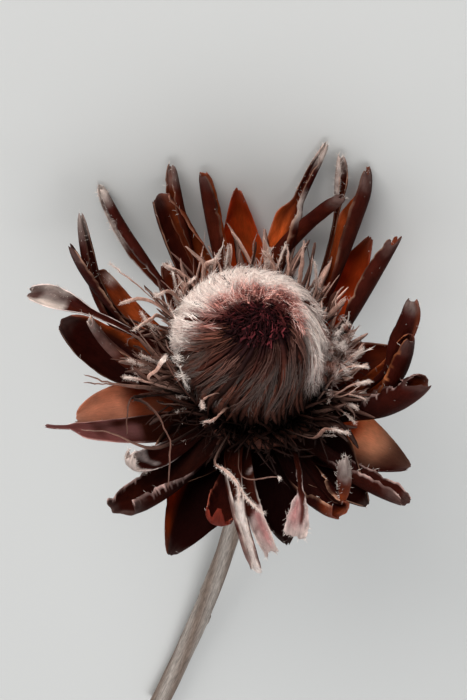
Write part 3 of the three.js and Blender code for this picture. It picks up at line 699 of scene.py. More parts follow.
# Inner bracts
# Twenty-six long leathery bracts, spoon or strap shaped, stand round the florets. They dried with their
# margins rolled in, torn and faded, and with grey down on their tips. They are grown as the outer ones.
INNER_BRACTS = [
    bract_of(SPOON, 347, 41, 20, 13, 130, 8, sway=12, hook=2, turned=-35, blunt=0.5, ruffle=0.8,
        torn=0.35, ragged=0.1, rust=0.02, left_rust=0.2, soot=1, edge=1, rim=0.2, margin=FADED_PINK),
    bract_of(SPOON, 4, 36, 22, 10, 110, 9, sway=20, rust=0.02, left_rust=0.4, edge=1, rim=0.25,
        margin=(0.5, 0.16, 0.06)),
    bract_of(SPOON, 13, 37.8, 26.5, 9, 120, 9, sway=34, hook=3, turned=-50, left_roll=60, right_roll=160,
        neck=(0.62, 0.35), hood=2, torn=0.12, ragged=0, rust=0.02, left_rust=0.7, down=0.3, edge=0.8,
        margin=(0.4, 0.14, 0.07)),
    bract_of(SPOON, 40, 42, 27, 10, 150, 1, sway=20, turned=-45, left_roll=45, right_roll=170,
        left_wide=1.5, neck=(0.35, 0.5), blunt=0.4, torn=0.2, ragged=0.05, rust=0.03, left_rust=0.9,
        rust_from=0.2, edge=0.7),
    bract_of(SPOON, 60, 51.8, 29, 12, 130, 3, sway=12, turned=-40, left_roll=35, right_roll=150,
        left_wide=1.9, hood=2, torn=0.05, rust=0.04, left_rust=0.6, rust_from=0.1, soot=0.3, down=0.15,
        edge=0.3),
    bract_of(STRAP, 70, 48, 34, 5.2, 110, 5, sway=12, by=((60, 31, 6), (65, 43, 17)), twist=60,
        neck=(0.8, 0.22), torn=0.3, rust=0.1, soot=0.8, scurf=[(0.75, 1.1, 1)], down=0.6),
    bract_of(SPOON, 74, 48.4, 36.5, 12, 150, 4, sway=-21, swerve=2, turned=-20, left_roll=80,
        right_roll=190, narrow=(0.62, 0.42), torn=0.3, rust=0.05, left_rust=0.8, rust_end=(0.6, 0.97),
        soot=0.25, scurf=[(0.6, 0.72, -1), (0.9, 1.1, 0)], down=0.7),
    bract_of(STRAP, 61, 36, 36, 5, 120, 11, sway=-60, hook=4, turned=140, neck=(0.4, 0.5), torn=0.3,
        rust=0.3, left_rust=0.5, rust_end=(0.4, 0.9), soot=0.2, down=0.2, edge=0.5),
    bract_of(SPOON, 112, 45.6, 27, 10, 130, 4, turned=45, left_roll=170, right_roll=60, right_wide=1.2,
        neck=(0.3, 0.7), blunt=0.2, rust=0.05, right_rust=0.9, edge=0.3),
    bract_of(SPOON, 119, 49, 29.5, 6.8, 120, 4, sway=-6, swerve=1, turned=-60, left_roll=100,
        right_roll=160, neck=(0.6, 0.35), torn=0.2, rust=0.06, left_rust=0.2, down=0.3, edge=0.3),
    bract_of(SPOON, 127, 46, 24, 12, 110, 4, sway=2, turned=20, left_roll=80, right_roll=170, blunt=0.6,
        rust=0.03, right_rust=0.4, rust_from=-0.3, edge=0.5),
    bract_of(SPOON, 135, 58.3, 21, 7, 150, 0, sway=-8, hook=-6, turned=-65, left_roll=120, right_roll=200,
        neck=(0.5, 0.5), torn=0.3, rust=0.02, left_rust=0.1, scurf=[(0.66, 0.88, 1), (0.93, 1.1, 0)],
        down=1, edge=0.9, margin=DOWN_GREY),
    bract_of(SPOON, 154, 53, 22, 13, 100, 8, sway=-6, turned=15, left_roll=110, right_roll=40,
        right_wide=1.05, right_flap=(0.73, 0.3), torn=0.15, rust=0.04, right_rust=0.4, rust_from=0.2,
        rust_end=(0.66, 0.9), soot=0.3, scurf=[(0.62, 0.68, -1)], edge=0.7),
    bract_of(STRAP, 147, 54.6, 26, 5.5, 120, 8, sway=-14, by=((167, 36, -2), (161, 46, 4)), rust=0.02,
        down=0.6, edge=0.2),
    bract_of(SPOON, 166.5, 58.6, 12, 9.5, 100, -4, sway=-4, hook=4, left_roll=70, right_roll=110,
        neck=(0.79, 0.2), blunt=0.45, hood=1, torn=0.3, rust=0.05, pale=0.9, pale_from=(0.72, 0.92),
        fades_to=PALE_BEIGE, lining=1, shade=(-1, 0.9), scurf=[(0.8, 0.96, -1)], down=0.5, edge=1,
        margin=FADED_WHITE),
    bract_of(SPOON, 175, 49, 16, 14, 90, 7, sway=-10, left_roll=45, blunt=0.5, torn=0.04, rust=0.01,
        right_rust=0.9, rust_from=-0.75, soot=1.2, edge=0.2),
    bract_of(SPOON, 177, 42, 24, 5, 170, 6, sway=-14, blunt=0.75, ragged=0.05, rust=0.12, pale=1,
        pale_from=(0.45, 0.8), fades_to=(0.66, 0.56, 0.52), lining=0.1, down=0.3, edge=1),
    bract_of(SPOON, 226.5, 45.5, 18, 9, 140, 6, left_roll=60, right_roll=110, hood=4, torn=0.3,
        ragged=0.06, rust=0.02, soot=1, pale=0.8, pale_from=(0.6, 0.85), fades_to=FADED_WHITE, lining=0.9,
        scurf=[(0.75, 1.1, 0)], down=1, edge=1, margin=FADED_WHITE),
    bract_of(SPOON, 233.5, 53.5, 12, 16, 140, 6, turned=10, left_roll=150, right_roll=75, blunt=0.8,
        torn=0.12, ragged=0.05, rust=0.05, soot=1.7, edge=1, rim=0.2, margin=FADED_PINK),
    bract_of(SPOON, 259.5, 47.5, 15, 15, 140, 6, left_roll=70, right_roll=90, left_wide=0.75,
        right_wide=0.9, blunt=0.85, hood=5, ruffle=0.9, torn=0.35, ragged=0.1, rust=0.02, soot=1.05,
        pale=0.8, pale_from=(0.8, 0.9), fades_to=(0.2, 0.028, 0.016), lining=1, down=0, edge=0.9, rim=0.2,
        margin=(0.5, 0.13, 0.08)),
    bract_of(STRAP, 272, 54, 8, 4.6, 130, 1, sway=16, by=((255, 30, 14), (266, 46, 15)), left_roll=150,
        right_roll=190, blunt=0.85, ruffle=0.5, torn=0.2, ragged=0.08, rust=0.1, soot=0.9, pale=1,
        pale_from=(0.52, 0.64), fades_to=(0.72, 0.64, 0.6), lining=0.1, edge=1, margin=PALE_BEIGE),
    bract_of(STRAP, 275.5, 50, 10, 6.2, 120, 1, sway=14, by=((262, 32, 12), (271, 45, 14)), left_roll=70,
        right_roll=60, blunt=0.85, ruffle=0.4, torn=0.2, ragged=0.03, rust=0.06, soot=1, pale=1,
        pale_from=(0.56, 0.64), fades_to=(0.4, 0.3, 0.28), lining=1, stripe=0.35, down=0.7, edge=1,
        rim=0.2, margin=PALE_BEIGE),
    bract_of(STRAP, 282.5, 47, 11, 8.5, 120, 4, sway=-14, by=((293, 28, 11), (286, 41, 18)), twist=40,
        left_roll=30, right_roll=70, neck=(0.72, 0.22), blunt=1, ruffle=0.8, torn=0.15, ragged=0.03,
        rust=0.05, soot=0.95, pale=1, pale_from=(0.62, 0.7), fades_to=(0.43, 0.33, 0.31), lining=1,
        stripe=-0.4, down=0.9, edge=0.5, rim=0.2, margin=FADED_WHITE),
    bract_of(SPOON, 297, 46.5, 13.5, 12, 150, 6, sway=6, left_roll=190, right_roll=150, blunt=0.75,
        torn=0.15, ragged=0.08, rust=0.4, rust_start=0.85, rust_end=(1.3, 0), soot=1.3, edge=0.8),
    bract_of(STRAP, 300.5, 40.5, 30, 5.6, 110, 9, sway=6, by=((302, 38, 0), (297, 48, 8)), left_roll=140,
        right_roll=140, neck=(0.82, 0.16), blunt=0.3, hood=2, rust=0.9, rust_start=0.74,
        rust_end=(0.81, 1), soot=0.85, scurf=[(0.84, 1.1, 1)], down=1, edge=0.15),
    bract_of(SPOON, 314, 51, 12, 11, 110, 4, sway=6, turned=-30, left_roll=90, right_roll=130, ruffle=0.5,
        torn=0.12, rust=0.04, left_rust=0.02, soot=1.3, edge=1, margin=FADED_PINK),
]
inner_ring = joined([grown_bract(bract, 200 + i) for i, bract in enumerate(INNER_BRACTS)])
reshape(inner_ring, lay_down)
leathery_dry_leaf = dry_leaf("leathery_dry_leaf", 0.55, through=0.3, mottle=0.3)
place_piece(inner_ring, "inner_bract_ring", "inner_bracts", leathery_dry_leaf)


# Bract feet
# The bracts of each ring are fused at their feet, in a low collar that grows out of the receptacle's
# side. Each collar is its outline spun round the flower's axis.
COLLAR_SIDES = 72
INNER_COLLAR = [(14.9, 0.6), (16.6, 0.9), (17.6, 0.2), (17.8, -1.4), (16.8, -3.4), (15.2, -3.9), (13.7, -3.7)]
OUTER_COLLAR = [(13.4, -4.4), (14.9, -4.6), (15.4, -5.6), (14.4, -7.4), (11.8, -8.3), (9.7, -8.1)]


def spun(outline, sides):
    """A ring: a closed outline of (reach, rise) points, spun round the flower's axis."""
    mesh = bpy.data.meshes.new("ring")
    count = len(outline)
    corners = [(reach, 0, rise) for reach, rise in outline]
    mesh.from_pydata(corners, [(i, (i + 1) % count) for i in range(count)], [])
    ring = bpy.data.objects.new("ring", mesh)
    bpy.context.collection.objects.link(ring)
    bpy.context.view_layer.objects.active = ring
    ring.select_set(True)
    bpy.ops.object.mode_set(mode="EDIT")
    bpy.ops.mesh.select_all(action="SELECT")
    bpy.ops.mesh.spin(steps=sides, angle=2 * math.pi, center=(0, 0, 0), axis=(0, 0, 1))
    bpy.ops.mesh.remove_doubles(threshold=0.001)
    bpy.ops.mesh.normals_make_consistent(inside=False)
    bpy.ops.object.mode_set(mode="OBJECT")
    ring.select_set(False)
    return ring


def lumpy(points):
    """A collar's points, swollen a little at each foot."""
    angle = polar(points)[1]
    swollen = 1 + 0.014 * np.sin(26 * angle) + 0.01 * np.sin(7 * angle + points[:, 2])
    return points * stacked(swollen, swollen, 1)


leaf_foot = new_finish("leaf_foot", 0.8)
speckle(leaf_foot, (2, 2, 2), 0.6, 1.3)
for name, outline, ring_name in (
    ("inner_bract_feet", INNER_COLLAR, "inner_bracts"),
    ("outer_bract_feet", OUTER_COLLAR, "outer_bracts"),
):
    feet = spun(outline, COLLAR_SIDES)
    reshape(feet, lumpy)
    around = places(feet)
    # Painted shade: the collars are near black, with a little rust.
    store(feet, "tint", opaque(np.tile(mixed(SHADE_BLACK, RUST, 0.15), (len(around), 1))))
    store(feet, "grain", around)
    reshape(feet, lay_down)
    place_piece(feet, name, ring_name, leaf_foot)


# Closed florets
# The dome is packed closed florets. Each is a flat brown strand that stands on the receptacle and leans
# over the others to the crown, all swirled one way, on a dark core. Short purple tips stand in the crown,
# and loose ends hang on the side that lost its wool. Painted shade darkens the strands and the loose ends
# towards the dome's foot. Each is a closed tapered tube.
DOME_RADIUS = 18.2
DOME_FOOT_RADIUS = 11.2
DOME_FOOT_RISE = 0.3
DOME_SHOULDER = 20.5
DOME_RISE = 35
DOME_OFFSET = -3.2  # how far the shoulder leans aside
WALL_SHARE = 0.45  # share of the way from foot to crown that is wall
WHORL_TURN = 40  # degrees that a strand swirls through on its way to the crown
CORE_SINK = 2.2  # how far the core is under the dome's surface
CORE_SEGMENTS = 66
CORE_RINGS = 28
CLOSED_FLORETS = 170
STRAND_SIDES = 4
STRAND_RINGS = 12
CROWN_TIPS = 520
CROWN_SIDES = 5
CROWN_TAPER = [0.8, 1, 1.1, 0.8, 0]  # width along a crown tip, as a share of the full one
LOOSE_ENDS = 80
LOOSE_STEPS = 10
HAIR_SIDES = 3
# The worn side has sparse wool and is darkened by painted shade.
WORN_SHADED_SIDE = 272  # turn of the middle of the side that lost its wool

CORE_BROWN = (0.005, 0.002, 0.0015)
STRAND_BROWN = (0.014, 0.005, 0.0035)
STRAND_ROSE = (0.07, 0.019, 0.012)
LOOSE_BROWN = (0.11, 0.038, 0.025)
CROWN_PURPLE = (0.01, 0.0022, 0.0026)
CROWN_RED = (0.13, 0.022, 0.026)
RING_ROSE = (0.85, 0.38, 0.31)


def dome_point(turn, up, lift=0.0):
    """A point on the dome, at a share of the way from its foot to its crown, lifted off it."""
    turn, up, lift = np.broadcast_arrays(*(np.asarray(v, dtype=float) for v in (turn, up, lift)))
    wall = np.clip(up / WALL_SHARE, 0, 1)
    over = np.clip((up - WALL_SHARE) / (1 - WALL_SHARE), 0, 1.2) * math.pi / 2
    on_wall = up < WALL_SHARE
    wall_reach = DOME_FOOT_RADIUS + (DOME_RADIUS - DOME_FOOT_RADIUS) * np.sin(wall * math.pi / 2)
    reach = np.where(on_wall, wall_reach, DOME_RADIUS * np.cos(over))
    wall_rise = DOME_FOOT_RISE + (DOME_SHOULDER - DOME_FOOT_RISE) * wall
    rise = np.where(on_wall, wall_rise, DOME_SHOULDER + (DOME_RISE - DOME_SHOULDER) * np.sin(over))
    lean = np.where(on_wall, wall, np.cos(over))
    lean_out = np.where(on_wall, 0.0, over)
    points = spot(turn, reach + lift * np.cos(lean_out), rise + lift * np.sin(lean_out))
    points[..., 0] += DOME_OFFSET * lean
    return points


def facing(turn, towards, start, end):
    """1 where a turn faces nearly the same way as another, by the cosine of the angle between them."""
    return eased(np.cos(np.radians(turn - towards)), start, end)


def worn_and_shaded(turn, up):
    """1 in the middle of the worn side, which is sparse and in painted shade, and 0 on the woolly side. It
    reaches further round near the crown.
    """
    away = (turn - WORN_SHADED_SIDE + 180) % 360 - 180
    reaches = np.where(away > 0, 55 + 23 * eased(up, 0.5, 0.75), 79)
    softness = np.where(away > 0, 12, 14)
    return 1 - eased(np.abs(away), reaches - softness, reaches + softness)


def crown_edge(turn):
    """How far up the dark crown starts: highest across from the worn side."""
    uneven = 0.014 * np.sin(np.radians(turn * 5) + 1) + 0.01 * np.sin(np.radians(turn * 11))
    beside = facing(turn, 190, 0.5, 1) + 0.7 * facing(turn, 0, 0.5, 1)
    return 0.83 + 0.08 * np.sin(np.radians(turn)) - 0.03 * beside + uneven


def tubes(lines, widths, sides, flatness=1.0, turned=0.0):
    """Closed tapered tubes in one mesh: points and triangles.

    lines holds each tube's points, widths each point's full width. The last point is the tube's tip.
    flatness is the thickness as a share of the width, and turned the angle of the flat side.
    """
    count, steps, _ = lines.shape
    heading = np.gradient(lines, axis=1)
    heading /= np.linalg.norm(heading, axis=2, keepdims=True) + 1e-9
    outwards = lines * (1, 1, 0.3) + (0.01, 0.02, 0)
    side = np.cross(heading, outwards)
    side /= np.linalg.norm(side, axis=2, keepdims=True) + 1e-9
    front = np.cross(side, heading)
    angle = 2 * math.pi * np.arange(sides) / sides
    turned = np.broadcast_to(np.asarray(turned, dtype=float), (count,))[:, None, None]
    wide, deep = np.cos(angle), np.sin(angle) * flatness
    a = wide * np.cos(turned) - deep * np.sin(turned)
    b = wide * np.sin(turned) + deep * np.cos(turned)
    half = widths[:, :-1, None] / 2
    rings = lines[:, :-1, None] + side[:, :-1, None] * (half * a)[..., None]
    rings = rings + front[:, :-1, None] * (half * b)[..., None]
    points = np.concatenate([rings.reshape(count, -1, 3), lines[:, -1:]], axis=1)
    faces = []
    for ring in range(steps - 2):
        for j in range(sides):
            p, q = ring * sides + j, ring * sides + (j + 1) % sides
            faces += [(p, q, q + sides), (p, q + sides, p + sides)]
    last = (steps - 2) * sides
    tip = (steps - 1) * sides
    faces += [(last + j, last + (j + 1) % sides, tip) for j in range(sides)]
    faces += [(0, j + 1, j) for j in range(1, sides - 1)]
    offsets = np.arange(count)[:, None, None] * points.shape[1]
    return points.reshape(-1, 3), (np.array(faces)[None] + offsets).reshape(-1, 3)


def tube_piece(points, faces, tint, grain):
    """An object from tubes, with a tint and a grain for each point."""
    mesh = bpy.data.meshes.new("tubes")
    mesh.from_pydata(lay_down(points), [], faces)
    piece = bpy.data.objects.new("tubes", mesh)
    bpy.context.collection.objects.link(piece)
    store(piece, "tint", opaque(tint))
    store(piece, "grain", grain)
    return piece


def per_point(values, sides):
    """Values given for each step of each tube, repeated for all of a tube's points."""
    rings = np.repeat(values[:, :-1], sides, axis=1)
    return np.concatenate([rings, values[:, -1:]], axis=1).reshape((-1,) + values.shape[2:])


def strands(lines, widths, sides, tint, grain, flatness=1.0, turned=0.0):
    """Tubes as one object, with a tint and a grain for each point of their lines."""
    points, faces = tubes(lines, widths, sides, flatness, turned)
    return tube_piece(points, faces, per_point(tint, sides), per_point(grain, sides))


def hair_piece(lines, widths, tint):
    """Fine hairs as one object, each a tube with three sides."""
    grain = np.zeros(lines.shape) + np.arange(len(lines))[:, None, None] * 0.3
    return strands(lines, widths, HAIR_SIDES, tint, grain)


def core():
    """The dome that the strands lie on, from a sphere."""
    bpy.ops.mesh.primitive_uv_sphere_add(segments=CORE_SEGMENTS, ring_count=CORE_RINGS, radius=1)
    piece = bpy.context.object

    def domed(points):
        up = (np.arcsin(np.clip(points[:, 2], -1, 1)) / math.pi + 0.5) ** 0.8
        turn = np.degrees(polar(points)[1])
        at_foot = up < 0.02
        dome = dome_point(turn + WHORL_TURN * up**2, np.maximum(up, 0.02), -CORE_SINK)
        locks = 1 + 0.03 * np.sin(np.radians(turn) * 22)
        dome[:, :2] *= locks[:, None]
        dome[at_foot] = (0, 0, DOME_FOOT_RISE)
        return dome

    reshape(piece, domed)
    return piece


draws = np.random.default_rng(31)
dome_core = core()
core_points = places(dome_core)
store(dome_core, "tint", opaque(np.tile(CORE_BROWN, (len(core_points), 1))))
store(dome_core, "grain", core_points)
reshape(dome_core, lay_down)

# The strands from the foot up to the crown
steps = np.linspace(0, 1, STRAND_RINGS + 1)[None, :]
strand = np.arange(CLOSED_FLORETS)[:, None]
foot_turn = strand * 360 / CLOSED_FLORETS + draws.uniform(-2, 2, strand.shape)
start = draws.uniform(0.03, 0.16, strand.shape)
end = draws.uniform(0.8, 0.96, strand.shape)
up = start + (end - start) * steps
swirl = WHORL_TURN * draws.uniform(0.8, 1.3, strand.shape)
wander = 5 * np.sin(steps * draws.uniform(3, 7, strand.shape) + draws.uniform(0, 6, strand.shape))
lift = draws.uniform(-2.6, -0.9, strand.shape) + 0.4 * np.sin(steps * 5 + draws.uniform(0, 6, strand.shape))
lines = dome_point(foot_turn + swirl * up**2 + wander * (1 - steps), up, lift)
swell = 0.45 + 0.55 * np.sin(math.pi * np.clip(steps * 0.9 + 0.1, 0, 1))
widths = draws.uniform(0.9, 2.2, strand.shape) * swell
turned = draws.uniform(-0.5, 0.5, CLOSED_FLORETS)
tone = draws.uniform(0, 1, strand.shape) ** 2 * (0.35 + 0.65 * eased(steps, 0.1, 0.5))
tint = mixed(mixed(STRAND_BROWN, STRAND_ROSE, tone), CROWN_PURPLE, eased(up, 0.66, 0.84))
# Painted shade darkens each strand towards its foot.
tint = mixed(tint, CORE_BROWN, 0.85 * (1 - eased(steps + 0 * tone, 0.1, 0.6)))
grain = stacked(strand * 3.7, steps * 30, strand * 1.9)
closed = strands(lines, widths, STRAND_SIDES, tint, grain, flatness=0.3, turned=turned)

# The tips in the crown
tip = np.arange(CROWN_TIPS)[:, None]
spread = np.sqrt((tip + 0.5) / CROWN_TIPS)
tip_up = 1 - (1 - WALL_SHARE) * 2 / math.pi * np.arcsin(np.clip(spread * 0.5, 0, 1))
tip_turn = tip * GOLDEN_TURN
steps = np.linspace(0, 1, len(CROWN_TAPER))[None, :]
tip_length = draws.uniform(1.4, 3.0, tip.shape)
knock = draws.uniform(-14, 14, tip.shape)
tip_lift = -1.4 + steps * tip_length * draws.uniform(0.5, 0.9, tip.shape)
up = np.clip(tip_up + 0.02 * steps * tip_length, 0, 1)
lines = dome_point(tip_turn + WHORL_TURN + knock * steps, up, tip_lift)
lines += draws.normal(0, 0.4, lines.shape)
widths = draws.uniform(0.25, 0.6, tip.shape) * np.array([CROWN_TAPER])
turned = draws.uniform(0, 3, CROWN_TIPS)
tone = draws.uniform(0, 1, tip.shape) ** 4 * np.ones_like(steps)
tint = mixed(CROWN_PURPLE, CROWN_RED, tone)
from_edge = tip_up - crown_edge(tip_turn + WHORL_TURN)
outside = (1 - eased(from_edge, -0.04, 0.02)) * (1 - worn_and_shaded(tip_turn + WHORL_TURN, tip_up))
tint = mixed(tint, RING_ROSE, outside * draws.uniform(0, 1, tip.shape) * np.ones_like(steps))
grain = stacked(tip * 2.3, steps * 3, tip * 1.1)
crown = strands(lines, widths, CROWN_SIDES, tint, grain, flatness=0.7, turned=turned)

# The loose ends on the worn side
steps = np.linspace(0, 1, LOOSE_STEPS)[None, :]
end_turn = draws.uniform(195, 345, (LOOSE_ENDS, 1))
up = draws.uniform(0.5, 0.75, end_turn.shape) * (1 - steps) + draws.uniform(0.06, 0.3, end_turn.shape) * steps
loosened = draws.uniform(0.6, 3.6, end_turn.shape) * steps**3 - 0.7
bent = draws.normal(0, 5, end_turn.shape) * steps**2
lines = dome_point(end_turn + WHORL_TURN * 1.1 * up**2 + bent, up, loosened)
swell = np.sin(math.pi * np.clip(0.02 + 0.93 * steps, 0, 1)) ** 0.7
widths = draws.uniform(0.9, 1.9, end_turn.shape) * swell
turned = draws.uniform(-0.7, 0.7, LOOSE_ENDS)
tone = draws.uniform(0, 1, end_turn.shape) ** 1.5 * np.ones_like(steps)
# Painted shade darkens the loose ends towards the dome's foot.
tint = mixed(mixed(STRAND_BROWN, LOOSE_BROWN, tone), CORE_BROWN, 0.8 * (1 - eased(up, 0.15, 0.5)))
grain = stacked(end_turn * 1.7, steps * 25, end_turn * 0.9)
loose_ends = strands(lines, widths, STRAND_SIDES, tint, grain, flatness=0.25, turned=turned)

closed_florets = joined([dome_core, closed, crown, loose_ends])
dry_floret = new_finish("dry_floret", 0.6, gloss=0.05)
speckle(dry_floret, (5, 0.6, 1), 0.55, 1.4)
wrinkle(dry_floret, (6, 0.5, 1), 0.0002, 0.6)
place_piece(closed_florets, "closed_florets", "floret_dome", dry_floret)


# Wool on the dome
# Long silky hairs cover the closed florets and flow from the crown down over the shoulders, swirled and
# clumped in tufts. They are cream on the shoulders, white and curly on one side, mauve and short round the
# dark crown, and sparse where they have worn off, and brown there with painted shade. Each is a fine closed
# tube with three sides.
HAIR_WHORL = 70  # degrees that a hair swirls through from crown to shoulder
TIP_WHITE = (0.85, 0.73, 0.66)
CREAM = (0.97, 0.86, 0.79)
ROSY = (0.78, 0.5, 0.43)
MAUVE = (0.13, 0.024, 0.02)
WORN_BROWN = (0.035, 0.013, 0.008)
WORN_ROSE = (0.22, 0.074, 0.048)


def wool(
    tufts, hairs_a_tuft, up_range, reach_down, hair_width, lift_range, steps, seed, keep,
    curl_out=0.0, crimp=0.12,
):
    """Tufts of hairs that start within a band of the dome and flow down it.

    keep is the share of the tufts that stand at a turn and a height. Also returned are each point's turn,
    how far up it is, and how dark its hair is.
    """
    draws = np.random.default_rng(seed)
    tuft_turn = draws.uniform(0, 360, tufts)
    tuft_up = draws.uniform(*up_range, tufts)
    kept = draws.uniform(0, 1, tufts) < keep(tuft_turn, tuft_up)
    tuft_turn, tuft_up = tuft_turn[kept], tuft_up[kept]
    tufts = len(tuft_turn)
    count = tufts * hairs_a_tuft

    def of_tuft(values):
        return np.repeat(values, hairs_a_tuft)[:, None]

    t = np.linspace(0, 1, steps)[None, :]
    length = of_tuft(draws.uniform(*reach_down, tufts)) * draws.uniform(0.7, 1.2, (count, 1))
    gather = 1 - 0.7 * np.sin(t * math.pi * 0.6)
    now_up = of_tuft(tuft_up) + 0.02 * draws.normal(0, 1, (count, 1)) - length * t
    shrink = np.cos(np.clip((now_up - WALL_SHARE) / (1 - WALL_SHARE), 0, 0.92) * math.pi / 2)
    drift = of_tuft(draws.normal(0, 7, tufts)) + draws.normal(0, 1.7, (count, 1))
    swirl = HAIR_WHORL * of_tuft(draws.uniform(0.7, 1.3, tufts)) * (now_up**2 - of_tuft(tuft_up) ** 2)
    spread = 2.2 * draws.normal(0, 1, (count, 1)) * gather
    now_turn = of_tuft(tuft_turn) + (spread + drift * t) / shrink + swirl
    low, high = lift_range
    lift = of_tuft(draws.uniform(low, high, tufts)) + 0.5 * np.sin(t * 2.2)
    lift = lift + 0.25 * draws.normal(0, 1, (count, 1)) * t
    lift = lift + curl_out * of_tuft(draws.uniform(0, 1, tufts)) ** 2 * t**3
    lines = dome_point(now_turn, np.clip(now_up, 0.02, 1), lift)
    lines = lines + draws.normal(0, 0.13, (count, steps, 3)) * t[..., None]
    phase = t * draws.uniform(3, 8, (count, 1)) + draws.uniform(0, 6, (count, 1))
    lines = lines + crimp * draws.normal(0, 1, (count, 1, 3)) * (np.sin(phase) * t)[..., None]
    widths = hair_width * draws.uniform(0.7, 1.3, (count, 1)) * (1 - 0.6 * t)
    tone = np.clip(of_tuft(draws.normal(0.45, 0.25, tufts)) + draws.normal(0, 0.25, (count, 1)), 0, 1)
    return lines, widths, now_turn, now_up, tone * np.ones_like(now_up)


def wool_piece(name, lines, widths, tint):
    """Puts hairs on the dome as a piece."""
    hair = np.arange(len(lines))[:, None]
    grain = stacked(hair * 0.37, np.linspace(0, 12, lines.shape[1])[None, :], hair * 0.11)
    piece = strands(lines, widths, HAIR_SIDES, tint, grain)
    place_piece(piece, name, "floret_dome", silky_hair)


def ring_tint(from_edge, tone):
    """Cream outside the dark crown's edge, then rose hairs among dark red ones, then dark."""
    woolly = mixed(CREAM, ROSY, 0.5 * tone)
    rose = mixed(MAUVE, mixed(RING_ROSE, CREAM, 0.7 * eased(tone, 0.6, 1)), eased(tone, 0.2, 0.75))
    tint = mixed(woolly, rose, eased(from_edge + 0.05 * tone, -0.09, -0.02))
    return mixed(tint, mixed(MAUVE, CROWN_PURPLE, 0.5), eased(from_edge - 0.03 * tone, -0.015, 0.03))


silky_hair = new_finish("silky_hair", 0.6, gloss=0.08)
speckle(silky_hair, (1, 0.4, 1), 0.75, 1.2, detail=2)

# Long hairs over the shoulders, cream, rosy towards the crown, and brown with painted shade on the worn side
lines, widths, turn, up, tone = wool(
    tufts=640, hairs_a_tuft=13, up_range=(0.6, 0.86), reach_down=(0.14, 0.34), hair_width=0.16,
    lift_range=(-2.2, -0.6), steps=6, seed=41, keep=lambda turn, up: 1 - 0.74 * worn_and_shaded(turn, up),
    curl_out=1.2, crimp=0.28,
)
reddened = eased(tone, 0.4, 0.7) * eased(up, 0.5, 0.72) * facing(turn, 190, 0.6, 0.9)
tint = mixed(ring_tint(up - crown_edge(turn), tone), MAUVE, 0.8 * reddened)
# Painted shade: brown on the worn side, darkest towards turn 290.
worn_and_shaded_tint = mixed(mixed(WORN_BROWN, WORN_ROSE, tone**3), STRAND_BROWN, 0.75 * facing(turn, 290, 0.4, 0.95))
tint = mixed(tint, worn_and_shaded_tint, 0.95 * worn_and_shaded(turn, up))
dark_among = tone > 0.93 - 0.3 * facing(turn, 5, 0.6, 0.95)
tint = mixed(tint, WORN_BROWN, 0.75 * dark_among * (1 - reddened) * (1 - worn_and_shaded(turn, up)))
wool_piece("shoulder_wool", lines, widths, tint)

# Shorter curly hairs round the dome's edge, rosier on its right
lines, widths, turn, up, tone = wool(
    tufts=820, hairs_a_tuft=10, up_range=(0.38, 0.66), reach_down=(0.08, 0.2), hair_width=0.14,
    lift_range=(-2.2, -0.4), steps=5, seed=42, keep=lambda turn, up: 1 - 0.95 * worn_and_shaded(turn, up),
    curl_out=2.8, crimp=0.3,
)
beside = facing(turn, 350, 0.4, 0.9)
tint = mixed(CREAM, ROSY, (0.35 + 0.5 * beside) * tone)
tint = mixed(tint, WORN_ROSE, 0.75 * beside * (tone > 0.55))
# Painted shade: brown on the worn side, and dark towards the dome's foot.
tint = mixed(tint, WORN_BROWN, 0.9 * worn_and_shaded(turn, up))
tint = mixed(tint, STRAND_BROWN, 1 - eased(up, 0.16, 0.4))
wool_piece("edge_wool", lines, widths, tint)

# Small white curls on its upper left
lines, widths, turn, up, tone = wool(
    tufts=200, hairs_a_tuft=16, up_range=(0.42, 0.66), reach_down=(0.05, 0.11), hair_width=0.1,
    lift_range=(-1.6, -0.5), steps=6, seed=44, keep=lambda turn, up: 0.9 * facing(turn, 145, 0, 0.7),
    curl_out=2.2, crimp=0.5,
)
wool_piece("tufted_wool", lines, widths, mixed(TIP_WHITE, CREAM, tone))


def beside_crown(turn, up):
    """The share of the crown's tufts that stand: few within the dark crown, and none on the worn side."""
    return (1 - worn_and_shaded(turn, up)) * (1 - 0.85 * eased(up - crown_edge(turn), -0.02, 0.04))


# Short hairs round the dark crown
lines, widths, turn, up, tone = wool(
    tufts=900, hairs_a_tuft=7, up_range=(0.78, 0.93), reach_down=(0.03, 0.08), hair_width=0.12,
    lift_range=(-0.9, 0.4), steps=4, seed=43, keep=beside_crown,
)
wool_piece("crown_wool", lines, widths, ring_tint(up - crown_edge(turn), tone))


# Down on the bracts
# Short silvery hairs stand on the bracts' tips, on their scurfy patches and along their torn margins. They
# have the wool's finish, and are thin closed tubes that stand off the blade in all directions.
DOWN_WIDTH = 0.085

roots = np.concatenate([spots for spots, headings in bract_down])
headings = np.concatenate([headings for spots, headings in bract_down])
headings /= np.linalg.norm(headings, axis=1, keepdims=True)
draws = np.random.default_rng(61)
hairs = len(roots)
t = np.linspace(0, 1, 4)
lines = roots[:, None] + headings[:, None] * t[:, None] * draws.uniform(0.4, 1.5, (hairs, 1, 1))
lines += draws.normal(0, 0.12, lines.shape) * t[:, None]
tint = mixed(TIP_WHITE, DOWN_GREY, draws.uniform(0, 1, (hairs, 1)) * np.ones_like(t))
down = hair_piece(lines, DOWN_WIDTH * (1 - 0.5 * t) * np.ones((hairs, 1)), tint)
place_piece(down, "bract_down", "inner_bracts", silky_hair)


